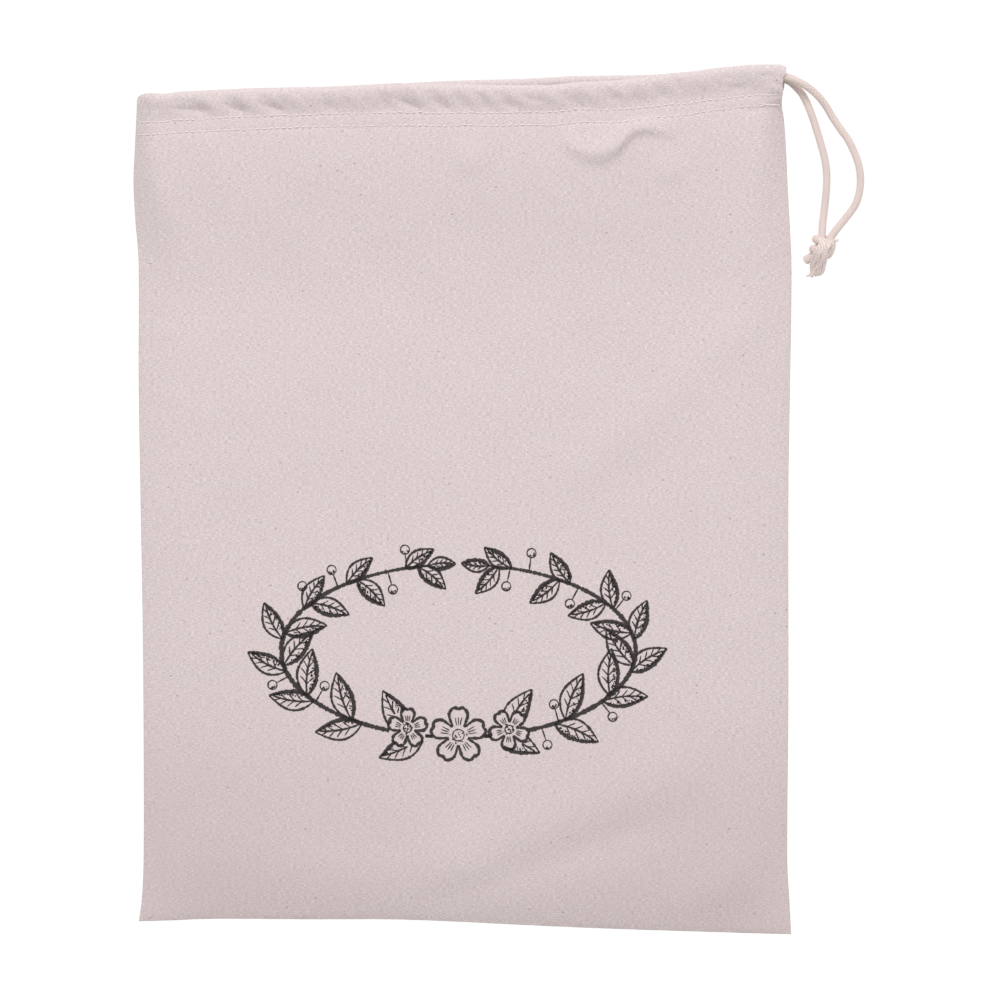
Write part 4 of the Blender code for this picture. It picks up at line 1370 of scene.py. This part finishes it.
def printed_garland(finish):
    """Two leafy branches that meet in an oval, with flowers where they cross and berries between."""
    drawing = Drawing()
    for off_x, off_y, radius, turn in GARLAND_FLOWERS:
        x = GARLAND_X + off_x
        y = GARLAND_Y - GARLAND_HALF_HEIGHT + off_y
        flower(drawing, x, y, radius, turn)
        drawing.taken.append((x, y, radius * 0.86))
    flowers = list(drawing.taken)
    leaf_places = []
    for side in (1, -1):
        stem = [garland_point(side, share)[:2] for share in np.linspace(-0.03, 1.0, 22)]
        drawing.stroke(stem, 2.2)
        for share in np.linspace(0.11, 0.97, LEAVES_A_SIDE):
            for lean, spread, longest in LEAF_PAIR:
                x, y, heading = garland_point(side, share + 0.012 * lean)
                angle = heading + lean * side * (spread + 0.1 * drawing.draw.normal())
                length = longest * (1.0 - 0.35 * share)
                leaf(drawing, x, y, angle, length, length * LEAF_WIDTH)
                for part in (0.3, 0.65):
                    leaf_places.append((*round_middle(x, y, part * length, angle), length * 0.22))
        x, y, heading = garland_point(side, 1.0)
        leaf(drawing, x, y, heading, 13.0, 5.6)
    drawing.taken = leaf_places + flowers
    for side in (1, -1):
        for number, share in enumerate(np.linspace(0.12, 0.96, 3 * LEAVES_A_SIDE)):
            x, y, heading = garland_point(side, share)
            angle = heading + (1.5 if number % 2 else -1.5)
            middle = round_middle(x, y, BERRY_OFF, angle)
            if drawing.is_free(*middle, 2.0):
                berry(drawing, *middle, BERRY_RADIUS)
                drawing.stroke([(x, y), round_middle(x, y, STALK, angle)], 0.8)
                drawing.taken.append((*middle, 4.0))
    return drawing.build("printed_garland", finish)


def studio():
    """A white floor, a broad soft light from the mouth's side and a white surround."""
    finish = Finish("White floor", 0.95)
    place = finish.add("ShaderNodeTexCoord", out="Object")
    mottle = finish.add("ShaderNodeTexNoise", None, {"Vector": place, "Scale": 30.0, "Detail": 3.0})
    finish.set("Base Color", finish.scaled(FLOOR_WHITE, mottle * 0.02 + 0.08))
    finish.set("Emission Color", WHITE)
    finish.set("Emission Strength", FLOOR_GLOW)
    x, y = np.meshgrid([-FLOOR_HALF, FLOOR_HALF], [-FLOOR_HALF, FLOOR_HALF])
    batch = Batch("Floor")
    batch.grid(np.stack([x, y, np.full((2, 2), FLOOR_Z)], axis=-1), np.stack([x, y], axis=-1) * MM)
    batch.build("floor", finish.material)

    world = bpy.data.worlds.new("White surround")
    world.use_nodes = True
    background = world.node_tree.nodes["Background"]
    background.inputs["Color"].default_value = WHITE
    background.inputs["Strength"].default_value = SURROUND
    bpy.context.scene.world = world

    lamp = bpy.data.lights.new("Window light", "AREA")
    lamp.shape = "RECTANGLE"
    lamp.size, lamp.size_y = LAMP_SIZE
    lamp.energy = LAMP_POWER
    lamp.color = LAMP_WHITE
    light = bpy.data.objects.new("Window light", lamp)
    light.location = LAMP_PLACE
    light.rotation_euler = (math.radians(LAMP_TILT), 0.0, 0.0)
    bpy.context.scene.collection.objects.link(light)
    bpy.context.scene.view_settings.view_transform = "Standard"


def camera():
    """The photograph's view: straight down."""
    data = bpy.data.cameras.new("Camera")
    data.sensor_width = SENSOR
    data.lens = SENSOR * VIEW_HEIGHT / VIEW_WIDTH
    made = bpy.data.objects.new("Camera", data)
    made.location = (VIEW_X * MM, VIEW_Y * MM, VIEW_HEIGHT * MM)
    bpy.context.scene.collection.objects.link(made)
    bpy.context.scene.camera = made


def settle(piece, slot, *nodes):
    """Fixes a piece to the bag and hides the CAD parts that it stands for."""
    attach(piece, "root")
    if nodes:
        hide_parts(*nodes)


camera()
cord_finish = braided_cotton()
knot = knot_piece(cord_finish)
yarns = frayed_yarns(frayed_cotton())
settle(knot, "cord", "end_knot")
settle(yarns, "cord")
for side, route in (("front", FRONT_CORD_ROUTE), ("back", BACK_CORD_ROUTE)):
    cord, centres = cord_piece(f"{side}_cord", route, cord_finish)
    settle(cord, "cord", f"{side}_cord_end")
    float(travelled(centres)[-1])
settle(held_cord(cord_finish), "cord", "drawcord_in_casing")

cloth_finish = woven_cloth()
back = cloth_piece("back_cloth", back_outer, back_hem, BACK_MESH, cloth_finish)
settle(back, "cloth", "back_panel")
front = cloth_piece("front_cloth", front_outer, front_hem, FRONT_MESH, cloth_finish)
settle(front, "cloth", "front_panel")

thread_finish = sewing_thread()
settle(stitch_rows("front_stitches", front_outer, 1, thread_finish, THREAD_ENDS), "cloth")
settle(stitch_rows("back_stitches", back_outer, -1, thread_finish), "cloth")
settle(printed_garland(printed_ink()), "ink")
studio()
